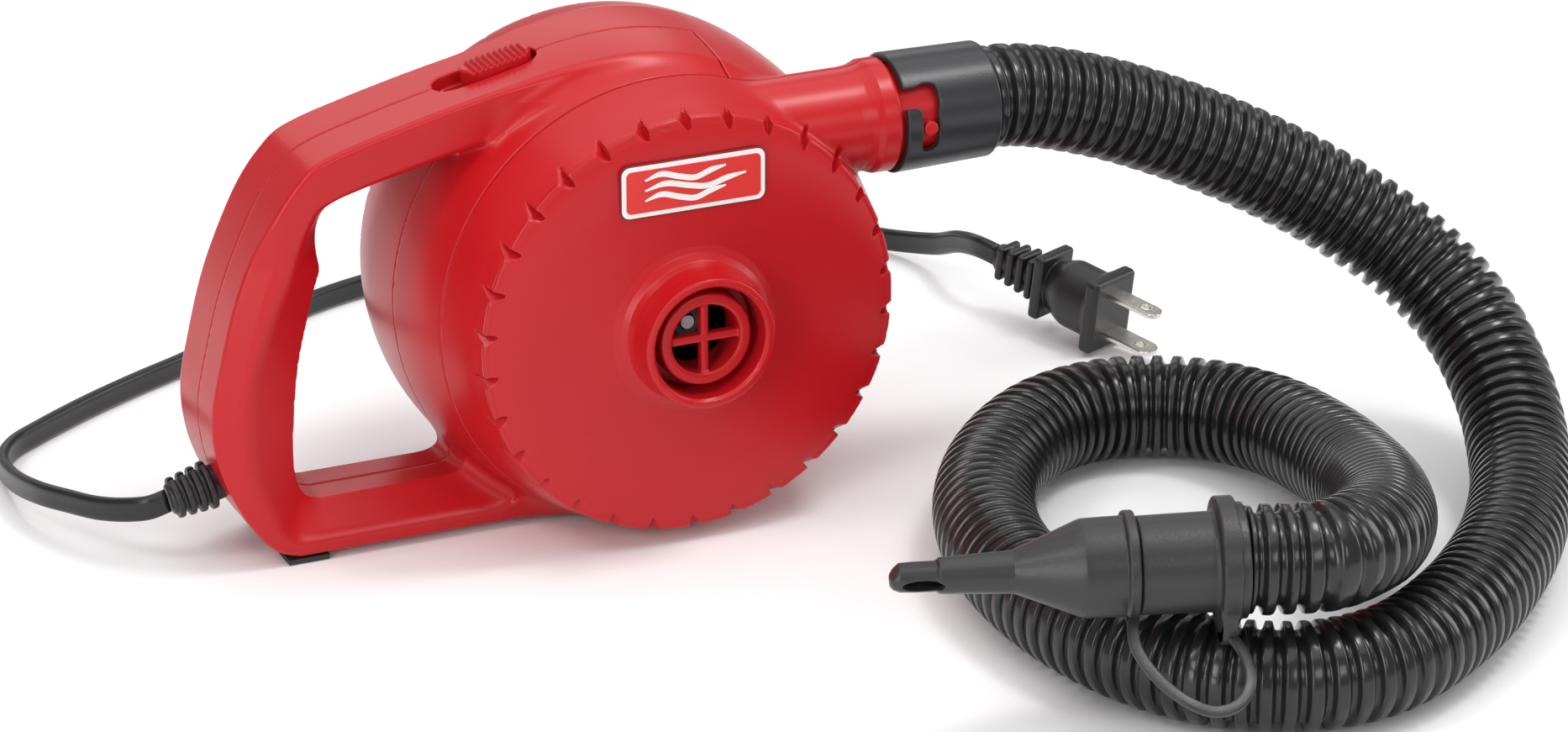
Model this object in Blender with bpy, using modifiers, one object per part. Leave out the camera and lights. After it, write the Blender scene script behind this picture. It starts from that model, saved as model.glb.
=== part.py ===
"""Electric air mattress pump: housing with a loop handle, fan, motor, switch, hose, nozzle and mains cord.

Metres, +Z up, -Y is the front (the notched cover with the deflate port), +X is the outlet side.
Most pieces are modelled in the fan frame: x and z from the fan axis, y from the seam of the two housing halves.
"""
import math

import bmesh
import bpy
from mathutils import Matrix, Vector

# Where the fan axis crosses the seam plane of the two housing halves.
FAN_AXIS = Vector((0.0165, 0.007, 0.0665))
GAP = 0.0003            # clearance that keeps touching solids apart
ROUND_STEPS = 48        # sides of a large round shell
BASE_Z = -0.065         # flat underside of the housing, below the fan axis
WALL = 0.0026           # moulded wall thickness

# Housing of revolution: (radius, y), front to back.
COVER_BACK_Y = -0.026
REAR_Y = 0.048
VENT_R = 0.050          # rebate for the rear cover
HOUSING_PROFILE = [(0.0668, COVER_BACK_Y), (0.0693, -0.014), (0.0713, 0.000), (0.0713, 0.018),
                   (0.0697, 0.030), (0.0665, 0.039), (0.0615, 0.0445), (0.0550, REAR_Y)]
FRONT_SHELL_END_X = 0.0205  # the front shell stops here, and the rear shell wraps round the outlet side

# Front cover and its deflate port.
FACE_Y = -0.0485
PORT_RIM_Y = -0.062
PORT_R = 0.0194
PORT_BORE_R = 0.0166
NOTCHES = 30
NOTCH_R = 0.0622
NOTCH_Y = -0.0425
GRILLE_R = 0.0136
GRILLE_BORE_R = 0.0102
GRILLE_Y = -0.058

# Outlet, parallel to X.
OUTLET_Y = -0.028
OUTLET_Z = 0.0466
OUTLET_TUBE_R = 0.0146
OUTLET_COLLAR_R = 0.0160
SPIGOT_R = 0.0142
OUTLET_BORE_R = 0.0118
COLLAR_X = 0.0600
SPIGOT_X = 0.0660
SPIGOT_END_X = 0.0880
PIN_X = 0.0746
PIN_R = 0.0021
CONNECTOR_X = 0.0675
CONNECTOR_END_X = 0.0970
CONNECTOR_BORE_R = 0.0151

# Handle.
HANDLE_HALF = 0.017     # half the handle's width
RIM_HALF = 0.0095       # half the width of the narrow rim round the opening
HANDLE_OUTER = [(0.030, 0.0640), (0.022, 0.0694), (0.010, 0.0716), (-0.003, 0.0722), (-0.022, 0.0703),
                (-0.040, 0.0669), (-0.0575, 0.0632), (-0.078, 0.0583), (-0.093, 0.0541),
                (-0.100, 0.0508), (-0.1055, 0.0455), (-0.113, 0.034), (-0.1215, 0.0145),
                (-0.127, -0.0055), (-0.1300, -0.0205), (-0.1285, -0.035), (-0.1238, -0.0475),
                (-0.1182, -0.0568), (-0.1122, -0.0628), (-0.1060, BASE_Z), (0.026, BASE_Z)]
# The opening: (x, z) at its narrow rim and, paired with it, at the handle's side face.
OPENING = [((-0.0360, 0.0500), (-0.0360, 0.0524)), ((-0.0627, 0.0455), (-0.0627, 0.0485)),
           ((-0.0830, 0.0405), (-0.0830, 0.0437)), ((-0.0925, 0.0376), (-0.0940, 0.0412)),
           ((-0.0955, 0.0345), (-0.0990, 0.0380)), ((-0.0968, 0.0300), (-0.1015, 0.0325)),
           ((-0.0966, 0.0245), (-0.1045, 0.0252)), ((-0.0958, 0.0185), (-0.1078, 0.0180)),
           ((-0.0979, 0.0125), (-0.1105, 0.0125)), ((-0.0997, 0.0050), (-0.1142, 0.0045)),
           ((-0.1030, -0.0090), (-0.1195, -0.0100)), ((-0.1049, -0.0263), (-0.1208, -0.0270)),
           ((-0.1052, -0.0400), (-0.1180, -0.0420)), ((-0.1035, -0.0475), (-0.1135, -0.0540)),
           ((-0.0990, -0.0505), (-0.1070, -0.0598)), ((-0.0360, -0.0505), (-0.0360, -0.0598))]
# Wire channel inside the handle, from the cord entry to the switch.
CHANNEL = [(-0.1150, -0.0425), (-0.1168, -0.0320), (-0.1165, -0.0180), (-0.1145, -0.0040),
           (-0.1095, 0.0145), (-0.1055, 0.0290), (-0.1010, 0.0390), (-0.0910, 0.0457),
           (-0.0700, 0.0540), (-0.0570, 0.0558), (-0.0485, 0.0520)]
CHANNEL_R = 0.0042
HANDLE_SCREWS = [(-0.1152, -0.0560), (-0.1226, -0.0060), (-0.0800, -0.0585)]

# Switch, in a frame that lies along the handle's top.
SWITCH_CENTRE = Vector((-0.0425, 0.0, 0.0664))
SWITCH_SLOPE = math.radians(11.9)
SLOT_LENGTH = 0.0305
SLOT_WIDTH = 0.0106
SLOT_DEPTH = 0.0042
BUTTON_LENGTH = 0.0215
BUTTON_WIDTH = 0.0094
BUTTON_X = 0.0036       # the button rests towards the outlet end of its slot

# Motor, on the fan axis.
MOTOR_R = 0.0270
SHAFT_R = 0.0020
ARMATURE_R = 0.0158

# Cord entry, below the grip: direction that the strain relief points in.
RELIEF_START = Vector((-0.1185, 0.0, -0.0430))
RELIEF_AXIS = Vector((-0.975, 0.0, -0.222)).normalized()
RELIEF_LENGTH = 0.0215

# Loose pieces, in world coordinates.
HOSE_R = 0.0148
HOSE_ROUTE = [(0.1075, -0.0210, 0.1131), (0.1240, -0.0210, 0.1125), (0.1490, -0.0225, 0.1060),
              (0.1750, -0.0255, 0.0955), (0.2000, -0.0315, 0.0830), (0.2225, -0.0410, 0.0690),
              (0.2400, -0.0540, 0.0545), (0.2490, -0.0710, 0.0405), (0.2490, -0.0920, 0.0270),
              (0.2400, -0.1180, 0.0165), (0.2260, -0.1420, 0.0152), (0.2050, -0.1690, 0.0152),
              (0.1760, -0.1955, 0.0152), (0.1450, -0.2130, 0.0152), (0.1220, -0.2140, 0.0152),
              (0.1010, -0.2030, 0.0152), (0.0860, -0.1810, 0.0152), (0.0775, -0.1460, 0.0152),
              (0.0790, -0.1100, 0.0152), (0.0895, -0.0790, 0.0152), (0.1080, -0.0530, 0.0152),
              (0.1300, -0.0370, 0.0152), (0.1530, -0.0340, 0.0152), (0.1740, -0.0440, 0.0154),
              (0.1870, -0.0650, 0.0165), (0.1890, -0.0950, 0.0195), (0.1830, -0.1290, 0.0250),
              (0.1720, -0.1580, 0.0325), (0.1590, -0.1820, 0.0390), (0.1440, -0.2000, 0.0448),
              (0.1270, -0.2095, 0.0474), (0.1150, -0.2072, 0.0477), (0.1058, -0.2041, 0.0478)]
HOSE_POINTS = 64

CORD_R = 0.0036
CORD_ROUTE = [(-0.1234, 0.0070, 0.0186), (-0.1285, 0.0071, 0.0174), (-0.1335, 0.0110, 0.0160),
              (-0.1395, 0.0195, 0.0140), (-0.1450, 0.0310, 0.0124), (-0.1495, 0.0440, 0.0103), (-0.1512, 0.0650, 0.0062),
              (-0.1490, 0.0830, 0.0039), (-0.1430, 0.0925, 0.0038), (-0.1340, 0.0995, 0.0038),
              (-0.1140, 0.1125, 0.0038), (-0.0950, 0.1230, 0.0038), (-0.0780, 0.1315, 0.0038),
              (-0.0530, 0.1465, 0.0038), (-0.0250, 0.1620, 0.0038), (0.0050, 0.1710, 0.0038),
              (0.0400, 0.1760, 0.0038), (0.0750, 0.1745, 0.0038), (0.1050, 0.1675, 0.0038),
              (0.1300, 0.1570, 0.0038), (0.1480, 0.1460, 0.0040), (0.1590, 0.1310, 0.0055),
              (0.1640, 0.1140, 0.0100), (0.1646, 0.0985, 0.0164), (0.1654, 0.0850, 0.0195),
              (0.1684, 0.0780, 0.0187)]
CORD_POINTS = 72

PLUG_FACE = Vector((0.1870, 0.0360, 0.0126))       # centre of the plate that carries the blades
PLUG_AXIS = Vector((0.400, -0.905, -0.130)).normalized()
PLUG_LENGTH = 0.0460
PLATE_SIZE = (0.0190, 0.0240, 0.0050)
BLADE_SPACING = 0.0127
BLADE_LENGTH = 0.0175
BLADE_THICKNESS = 0.0015

# Nozzle, on the end of the hose.
NOZZLE_TIP = Vector((0.0165, -0.1745, 0.0465))
CUFF_END = Vector((0.1055, -0.2040, 0.0478))
NOZZLE_PROFILE = [(0.0048, 0.0), (0.0055, 0.003), (0.0060, 0.033), (0.0131, 0.050),
                  (0.0133, 0.0610)]
FLANGE_R = 0.0147
NOZZLE_END = 0.0645     # distance of the nozzle's flange from its tip

PARTS = bpy.data.collections.new("air_mattress_pump")
CUTTERS = bpy.data.collections.new("cutters")
MATERIALS = {
    "red_plastic": ((0.62, 0.025, 0.035), 0.38, 0.0),
    "dark_plastic": ((0.035, 0.035, 0.038), 0.45, 0.0),
    "hose_black": ((0.012, 0.012, 0.013), 0.25, 0.0),
    "cord_black": ((0.015, 0.015, 0.016), 0.45, 0.0),
    "nozzle_grey": ((0.055, 0.055, 0.060), 0.50, 0.0),
    "blade_metal": ((0.62, 0.60, 0.57), 0.25, 1.0),
    "steel": ((0.50, 0.50, 0.51), 0.30, 1.0),
    "copper": ((0.70, 0.28, 0.12), 0.30, 1.0),
    "bronze": ((0.50, 0.33, 0.14), 0.35, 1.0),
    "carbon": ((0.02, 0.02, 0.02), 0.60, 0.0),
    "magnet": ((0.06, 0.055, 0.055), 0.55, 0.0),
    "white_nylon": ((0.75, 0.74, 0.70), 0.45, 0.0),
    "board_green": ((0.03, 0.20, 0.08), 0.50, 0.0),
    "badge": ((0.55, 0.02, 0.03), 0.30, 0.0),
}


def clear_scene():
    for item in list(bpy.data.objects):
        bpy.data.objects.remove(item, do_unlink=True)


def material(name):
    """The named Principled material, made once."""
    if name in bpy.data.materials:
        return bpy.data.materials[name]
    colour, roughness, metallic = MATERIALS[name]
    made = bpy.data.materials.new(name)
    made.use_nodes = True
    shader = made.node_tree.nodes["Principled BSDF"]
    shader.inputs["Base Color"].default_value = (*colour, 1.0)
    shader.inputs["Roughness"].default_value = roughness
    shader.inputs["Metallic"].default_value = metallic
    return made


def empty(name, location, parent=None, rotation=(0, 0, 0)):
    guide = bpy.data.objects.new(name, None)
    guide.location = location
    guide.rotation_euler = rotation
    guide.parent = parent
    PARTS.objects.link(guide)
    return guide


def link(name, data, look, parent):
    """An object for the data: a part when it has a look, and otherwise a cutter."""
    item = bpy.data.objects.new(name, data)
    item.parent = parent
    if look is None:
        item.hide_render = True
        item.display_type = "WIRE"
        CUTTERS.objects.link(item)
    else:
        data.materials.append(material(look))
        PARTS.objects.link(item)
    return item


def from_bmesh(name, bm, look, parent):
    mesh = bpy.data.meshes.new(name)
    bmesh.ops.recalc_face_normals(bm, faces=bm.faces)
    bm.to_mesh(mesh)
    bm.free()
    return link(name, mesh, look, parent)


def smooth(item, angle=35):
    item.data.shade_smooth()
    item.data.set_sharp_from_angle(angle=math.radians(angle))
    return item


def box(name, low, high, look, parent, turn=None):
    bm = bmesh.new()
    bmesh.ops.create_cube(bm, size=1.0)
    low, high = Vector(low), Vector(high)
    for vert in bm.verts:
        vert.co = Vector((vert.co[i] * (high[i] - low[i]) + (high[i] + low[i]) / 2 for i in range(3)))
    if turn is not None:
        bmesh.ops.transform(bm, matrix=turn, verts=bm.verts)
    return from_bmesh(name, bm, look, parent)


def add_rod(bm, start, end, radius, sides, end_radius=None):
    """A cylinder or cone from start to end, added to bm."""
    start, end = Vector(start), Vector(end)
    along = end - start
    place = Matrix.Translation((start + end) / 2) @ along.to_track_quat("Z", "Y").to_matrix().to_4x4()
    bmesh.ops.create_cone(bm, cap_ends=True, segments=sides, radius1=radius,
                          radius2=radius if end_radius is None else end_radius,
                          depth=along.length, matrix=place)


def rod(name, start, end, radius, look, parent, sides=16, end_radius=None):
    bm = bmesh.new()
    add_rod(bm, start, end, radius, sides, end_radius)
    return smooth(from_bmesh(name, bm, look, parent))


def evaluated_mesh(item):
    """The item's mesh with its modifiers applied, caps and seams welded, faces outward."""
    bpy.context.view_layer.update()
    graph = bpy.context.evaluated_depsgraph_get()
    mesh = bpy.data.meshes.new_from_object(item.evaluated_get(graph))
    bm = bmesh.new()
    bm.from_mesh(mesh)
    bmesh.ops.remove_doubles(bm, verts=bm.verts, dist=0.000002)
    bmesh.ops.recalc_face_normals(bm, faces=bm.faces)
    bm.to_mesh(mesh)
    bm.free()
    return mesh


def turned(name, profile, look, parent, closed=True, steps=ROUND_STEPS, place=None):
    """A profile of (radius, distance along the axis) turned about Y, or about place's own Y."""
    mesh = bpy.data.meshes.new(name)
    area = sum(a[0] * b[1] - b[0] * a[1] for a, b in zip(profile, profile[1:] + profile[:1]))
    if area > 0:
        profile = profile[::-1]
    count = len(profile)
    edges = [(i, (i + 1) % count) for i in range(count if closed else count - 1)]
    mesh.from_pydata([(r, 0.0, h) for r, h in profile], edges, [])
    item = link(name, mesh, look, None)
    screw = item.modifiers.new("turn", "SCREW")
    screw.steps = screw.render_steps = steps
    screw.use_merge_vertices = True
    screw.merge_threshold = 0.00001
    solid = evaluated_mesh(item)
    item.modifiers.remove(screw)
    solid.transform(Matrix.Rotation(math.radians(-90), 4, "X"))
    if place is not None:
        solid.transform(place)
    item.data = solid
    item.parent = parent
    return smooth(item)


ALONG_X = Matrix.Translation((0, OUTLET_Y, OUTLET_Z)) @ Matrix.Rotation(math.radians(-90), 4, "Z")


def plate(name, outline, half, look, parent):
    """A flat outline of (x, z) points, as thick as twice half, centred on y = 0."""
    curve = bpy.data.curves.new(name, "CURVE")
    curve.dimensions = "2D"
    curve.fill_mode = "BOTH"
    curve.extrude = half
    spline = curve.splines.new("POLY")
    spline.points.add(len(outline) - 1)
    for point, (x, z) in zip(spline.points, outline):
        point.co = (x, z, 0.0, 1.0)
    spline.use_cyclic_u = True
    guide = bpy.data.objects.new(name + "_outline", curve)
    CUTTERS.objects.link(guide)
    mesh = evaluated_mesh(guide)
    bpy.data.objects.remove(guide, do_unlink=True)
    mesh.transform(Matrix.Rotation(math.radians(90), 4, "X"))
    return link(name, mesh, look, parent)


def loft(name, first, second, look, parent):
    """A closed body between two outlines with the same number of points."""
    bm = bmesh.new()
    rings = [[bm.verts.new(point) for point in ring] for ring in (first, second)]
    bm.faces.new(rings[0])
    bm.faces.new(rings[1])
    count = len(first)
    for i in range(count):
        j = (i + 1) % count
        bm.faces.new((rings[0][i], rings[0][j], rings[1][j], rings[1][i]))
    return from_bmesh(name, bm, look, parent)


def smooth_route(points, count):
    """Evenly spaced points on a centripetal Catmull-Rom curve through the route's points."""
    route = [Vector(p) for p in points]
    route = [2 * route[0] - route[1]] + route + [2 * route[-1] - route[-2]]
    fine = []
    for i in range(1, len(route) - 2):
        p = route[i - 1:i + 3]
        knot = [0.0]
        for a, b in zip(p, p[1:]):
            knot.append(knot[-1] + math.sqrt((b - a).length))
        for step in range(16):
            t = knot[1] + (knot[2] - knot[1]) * step / 16

            def mix(a, b, low, high):
                return a * ((high - t) / (high - low)) + b * ((t - low) / (high - low))

            a1 = mix(p[0], p[1], knot[0], knot[1])
            a2 = mix(p[1], p[2], knot[1], knot[2])
            a3 = mix(p[2], p[3], knot[2], knot[3])
            fine.append(mix(mix(a1, a2, knot[0], knot[2]), mix(a2, a3, knot[1], knot[3]),
                            knot[1], knot[2]))
    fine.append(route[-2])
    travel = [0.0]
    for a, b in zip(fine, fine[1:]):
        travel.append(travel[-1] + (b - a).length)
    even, spot = [], 0
    for i in range(count):
        wanted = travel[-1] * i / (count - 1)
        while spot < len(fine) - 2 and travel[spot + 1] < wanted:
            spot += 1
        share = (wanted - travel[spot]) / (travel[spot + 1] - travel[spot])
        even.append(fine[spot].lerp(fine[spot + 1], min(share, 1.0)))
    return even


def tube(name, points, radius, look, parent=None, resolution=2):
    """A round solid along the points, with filled ends."""
    curve = bpy.data.curves.new(name, "CURVE")
    curve.dimensions = "3D"
    curve.bevel_depth = radius
    curve.bevel_resolution = resolution
    curve.use_fill_caps = True
    spline = curve.splines.new("POLY")
    spline.points.add(len(points) - 1)
    for point, place in zip(spline.points, points):
        point.co = (*place, 1.0)
    return link(name, curve, look, parent)


def as_mesh(item):
    """The curve object made a mesh object of the same name."""
    name, parent = item.name, item.parent
    mesh = evaluated_mesh(item)
    bpy.data.objects.remove(item, do_unlink=True)
    made = bpy.data.objects.new(name, mesh)
    made.parent = parent
    made.hide_render = True
    made.display_type = "WIRE"
    CUTTERS.objects.link(made)
    return made


def boolean(item, other, operation="DIFFERENCE"):
    step = item.modifiers.new(other.name, "BOOLEAN")
    step.operation = operation
    step.solver = "EXACT"
    step.object = other
    return item


def cut(item, *cutters):
    for cutter in cutters:
        boolean(item, cutter)
    return item


def join(item, *others):
    for other in others:
        boolean(item, other, "UNION")
    return item


def weld(item):
    """Merges the slivers that booleans leave."""
    step = item.modifiers.new("weld", "WELD")
    step.merge_threshold = 0.00001
    return item


def base_cutter(name, parent, floor=BASE_Z):
    return box(name, (-0.2, -0.1, floor - 0.05), (0.2, 0.1, floor), None, parent)


# ---------------------------------------------------------------- housing

def handle_body(name, frame):
    """The loop handle with its opening, whose edges are bevelled back to a narrow rim."""
    handle = plate(name, HANDLE_OUTER, HANDLE_HALF, None, frame)
    rim = [pair[0] for pair in OPENING]
    face = [pair[1] for pair in OPENING]
    through = plate(name + "_opening", rim, HANDLE_HALF + 0.002, None, frame)
    cut(handle, through)
    for side, word in ((-1, "front"), (1, "rear")):
        narrow = [(x, side * (RIM_HALF - 0.0001), z) for x, z in rim]
        wide = [(x, side * (HANDLE_HALF + 0.0001), z) for x, z in face]
        cut(handle, loft(f"{name}_{word}_bevel", narrow, wide, None, frame))
    return handle


def cavity(name, frame):
    """The room inside the housing: its outside profile less the wall, with a flat floor."""
    inside = [(r - WALL, y) for r, y in HOUSING_PROFILE[:-2]]
    profile = [(0.0, COVER_BACK_Y - 0.01), (inside[0][0] - 0.001, COVER_BACK_Y - 0.01)] + inside
    profile += [(0.0600, REAR_Y - 0.0065), (0.0, REAR_Y - 0.0065)]
    room = turned(name, profile, None, frame, closed=False)
    return cut(room, base_cutter(name + "_floor", frame, BASE_Z + WALL))


def outlet_body(name, frame):
    profile = [(0.0, 0.018), (OUTLET_TUBE_R, 0.018), (OUTLET_TUBE_R, COLLAR_X - 0.003),
               (OUTLET_COLLAR_R, COLLAR_X), (OUTLET_COLLAR_R, SPIGOT_X), (SPIGOT_R, SPIGOT_X),
               (SPIGOT_R, SPIGOT_END_X), (0.0, SPIGOT_END_X)]
    return turned(name, profile, None, frame, closed=False, steps=32, place=ALONG_X)


def outlet_bore(name, frame):
    profile = [(0.0, 0.012), (OUTLET_BORE_R, 0.012), (OUTLET_BORE_R, SPIGOT_END_X + 0.002),
               (0.0, SPIGOT_END_X + 0.002)]
    return turned(name, profile, None, frame, closed=False, steps=32, place=ALONG_X)


def bayonet_pin(name, side, frame):
    start = (PIN_X, OUTLET_Y + side * 0.0130, OUTLET_Z)
    end = (PIN_X, OUTLET_Y + side * 0.0172, OUTLET_Z)
    return rod(name, start, end, PIN_R, None, frame, sides=12)


def switch_slot(name, switch_frame):
    """The stadium recess for the button, and the through slot for its stem."""
    half = SLOT_WIDTH / 2
    reach = SLOT_LENGTH / 2 - half
    bm = bmesh.new()
    outline = []
    for centre, start in ((reach, -90), (-reach, 90)):
        for step in range(9):
            angle = math.radians(start + 22.5 * step)
            outline.append((centre + half * math.cos(angle), half * math.sin(angle)))
    rings = [[bm.verts.new((x, y, z)) for x, y in outline] for z in (-SLOT_DEPTH, 0.006)]
    bm.faces.new(rings[0])
    bm.faces.new(rings[1])
    for i in range(len(outline)):
        j = (i + 1) % len(outline)
        bm.faces.new((rings[0][i], rings[0][j], rings[1][j], rings[1][i]))
    return from_bmesh(name, bm, None, switch_frame)


def screw_well(name, x, z, frame):
    """A well from the rear face with a thin hole on into the front half."""
    bm = bmesh.new()
    add_rod(bm, (x, 0.0040, z), (x, HANDLE_HALF + 0.001, z), 0.0029, 16)
    well = from_bmesh(name, bm, None, frame)
    return well


def shell(name, keep, frame, switch_frame):
    """One half of the housing. keep is 'front' or 'rear'."""
    front = keep == "front"
    if front:
        section = [p for p in HOUSING_PROFILE if p[1] <= 0.0] + [(0.0, 0.0)]
    else:
        section = HOUSING_PROFILE + [(VENT_R, REAR_Y), (VENT_R, REAR_Y - 0.0028),
                                     (VENT_R - 0.007, REAR_Y - 0.0028),
                                     (VENT_R - 0.007, REAR_Y - 0.0070), (0.0, REAR_Y - 0.0070)]
    profile = [(0.0, COVER_BACK_Y)] + section
    item = turned(name, profile, "red_plastic", frame, closed=False)
    join(item, handle_body(name + "_handle", frame))
    cut(item, base_cutter(name + "_base", frame))
    if not front:
        join(item, outlet_body(name + "_outlet", frame), bayonet_pin(name + "_pin", 1, frame))
    cut(item, cavity(name + "_room", frame))
    channel = [(x, 0.0, z) for x, z in CHANNEL]
    cut(item, as_mesh(tube(name + "_channel", channel, CHANNEL_R, None, frame, 3)))
    entry = rod(name + "_cord_entry", RELIEF_START - RELIEF_AXIS * 0.001,
                RELIEF_START + RELIEF_AXIS * 0.02, 0.0052 + GAP, None, frame)
    cut(item, entry, switch_slot(name + "_slot", switch_frame))
    stem_slot = box(name + "_stem_slot", (-0.0085, -0.0024, -0.0090), (0.0078, 0.0024, 0.001), None,
                    switch_frame)
    slider_room = box(name + "_slider_room", (-0.0088, -0.0035, -0.0110), (0.0080, 0.0035, -0.0064),
                      None, switch_frame)
    switch_room = box(name + "_switch_room", (-0.0118, -0.0052, -0.0190), (0.0097, 0.0052, -0.0092),
                      None, switch_frame)
    cut(item, stem_slot, slider_room, switch_room)
    for i, (x, z) in enumerate(HANDLE_SCREWS):
        hole = rod(f"{name}_screw_hole_{i}", (x, -0.0095, z), (x, 0.006, z), 0.0014 + GAP, None,
                   frame, sides=12)
        cut(item, hole)
        if not front:
            cut(item, screw_well(f"{name}_screw_well_{i}", x, z, frame))
    if front:
        beyond = box(name + "_beyond", (-0.2, -GAP / 2, -0.1), (0.2, 0.1, 0.1), None, frame)
        side = box(name + "_side", (FRONT_SHELL_END_X, -0.1, -0.1), (0.2, 0.1, 0.1), None, frame)
        cut(item, beyond, side)
    else:
        before = box(name + "_before", (-0.2, -0.1, -0.1), (FRONT_SHELL_END_X + GAP, GAP / 2, 0.1),
                     None, frame)
        ahead = box(name + "_ahead", (-0.2, -0.1, -0.1), (0.2, COVER_BACK_Y + GAP / 2, 0.1), None,
                    frame)
        cut(item, outlet_bore(name + "_bore", frame), before, ahead,
            notch_cutters(name + "_notches", 0.0655, 0.0405, -1, frame))
        for i, (x, z) in enumerate(ring_points(3, 0.0465, 30)):
            cut(item, rod(f"{name}_vent_screw_hole_{i}", (x, 0.0405, z), (x, 0.047, z),
                          0.0011 + GAP, None, frame, sides=10))
    return weld(smooth(item))


def ring_points(count, radius, start=0.0):
    """(x, z) of count points round the fan axis, from start degrees."""
    angles = [math.radians(start + 360.0 * i / count) for i in range(count)]
    return [(radius * math.sin(a), radius * math.cos(a)) for a in angles]


def notch_cutters(name, radius, y, lean, frame):
    """Square bars on edge, laid across a rounded rim so that each cuts a V notch."""
    bm = bmesh.new()
    for i in range(NOTCHES):
        angle = math.radians(11.4 + 360.0 * i / NOTCHES)
        spin = Matrix.Rotation(angle, 4, "Y")
        tilt = Matrix.Rotation(math.radians(45 * lean), 4, "X")
        edge = Matrix.Rotation(math.radians(45), 4, "Z")
        place = spin @ Matrix.Translation((0, y, radius)) @ tilt @ edge
        scale = Matrix.Diagonal((0.0022, 0.0022, 0.0085, 1.0))
        bmesh.ops.create_cube(bm, size=1.0, matrix=place @ scale)
    return from_bmesh(name, bm, None, frame)


def front_cover(frame):
    """The fan's front cover, with the deflate port and the front half of the outlet."""
    back = COVER_BACK_Y - GAP / 2
    outside = [(0.0668, back), (0.0650, -0.0375), (0.0640, -0.0410), (0.0622, -0.0443),
               (0.0595, -0.0466), (0.0560, -0.0477), (0.0300, FACE_Y), (0.0225, FACE_Y - 0.0006),
               (0.0200, FACE_Y - 0.0024), (PORT_R, FACE_Y - 0.0060), (PORT_R, PORT_RIM_Y)]
    inside = [(PORT_BORE_R, PORT_RIM_Y), (PORT_BORE_R, FACE_Y + WALL), (0.0550, FACE_Y + WALL),
              (0.0605, -0.0420), (0.0642, back)]
    item = turned("front_cover", outside + inside, "red_plastic", frame, steps=48)
    outer = outlet_body("cover_outlet", frame)
    room = turned("cover_room", [(0.0, -0.047), (0.0555, -0.047), (0.0618, -0.0430), (0.0653, back),
                                 (0.0653, 0.0), (0.0, 0.0)], None, frame, closed=False, steps=48)
    cut(outer, room)
    join(item, outer, bayonet_pin("cover_pin", -1, frame))
    behind = box("cover_behind", (-0.2, back, -0.1), (0.2, 0.1, 0.1), None, frame)
    cut(item, outlet_bore("cover_bore", frame), behind, base_cutter("cover_base", frame),
        notch_cutters("cover_notches", NOTCH_R + 0.0015, NOTCH_Y - 0.0015, 1, frame))
    return weld(smooth(item))


def inlet_grille(frame):
    """A ring with a cross, pressed into the deflate port."""
    ring = turned("inlet_grille", [(PORT_BORE_R - GAP, FACE_Y + 0.0010), (PORT_BORE_R - GAP, -0.0505),
                                   (GRILLE_R, -0.0505), (GRILLE_R, GRILLE_Y),
                                   (GRILLE_BORE_R, GRILLE_Y), (GRILLE_BORE_R, FACE_Y + 0.0010)],
                  "red_plastic", frame, steps=40)
    reach = GRILLE_BORE_R + 0.001
    for word, size in (("bar", (reach, 0.0012)), ("post", (0.0012, reach))):
        join(ring, box("grille_" + word, (-size[0], GRILLE_Y + 0.0010, -size[1]),
                       (size[0], GRILLE_Y + 0.0035, size[1]), None, frame))
    return weld(ring)


def rear_cover(frame):
    """The slotted cover over the motor, let into the back of the housing."""
    y = REAR_Y - 0.0028 + GAP
    item = turned("rear_cover", [(0.0, y), (0.0497, y), (0.0497, REAR_Y - 0.0006),
                                 (0.0485, REAR_Y), (0.0, REAR_Y)], "red_plastic", frame, closed=False)
    bm = bmesh.new()
    for ring, count, length in ((0.0160, 8, 0.009), (0.0330, 16, 0.014)):
        for i in range(count):
            spin = Matrix.Rotation(math.radians(360.0 * (i + 0.5) / count), 4, "Y")
            size = Matrix.Diagonal((0.0030, 0.02, length, 1.0))
            bmesh.ops.create_cube(bm, size=1.0, matrix=spin @ Matrix.Translation((0, 0.046, ring)) @ size)
    cut(item, from_bmesh("vent_slots", bm, None, frame))
    for i, (x, z) in enumerate(ring_points(3, 0.0465, 30)):
        cut(item, rod(f"rear_cover_hole_{i}", (x, 0.04, z), (x, 0.06, z), 0.0011 + GAP, None, frame,
                      sides=10),
            rod(f"rear_cover_sink_{i}", (x, 0.0467, z), (x, 0.06, z), 0.0025, None, frame, sides=14))
    return weld(item)


def rear_cover_screws(frame):
    for i, (x, z) in enumerate(ring_points(3, 0.0465, 30)):
        item = rod(f"vent_screw_{i + 1}", (x, 0.0412, z), (x, 0.0474, z), 0.0011, "steel", frame,
                   sides=10)
        head = rod(f"vent_screw_head_{i}", (x, 0.0467 + GAP, z), (x, 0.0479, z), 0.0021, None, frame,
                   sides=14)
        join(item, head)


def handle_screws(frame):
    for i, (x, z) in enumerate(HANDLE_SCREWS):
        item = rod(f"housing_screw_{i + 1}", (x, -0.0085, z), (x, 0.0045, z), 0.0014, "steel",
                   frame, sides=12)
        head = rod(f"screw_head_{i}", (x, 0.0040 + GAP, z), (x, 0.0064, z), 0.0024, None, frame,
                   sides=14)
        join(item, head)


def feet(frame):
    for i, (x, side) in enumerate(((-0.104, -1), (-0.104, 1), (0.014, -1), (0.014, 1))):
        low = (x - 0.006, side * 0.012 - 0.0045, -FAN_AXIS.z)
        high = (x + 0.006, side * 0.012 + 0.0045, BASE_Z - 0.0001)
        box(f"foot_{i + 1}", low, high, "dark_plastic", frame)


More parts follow.
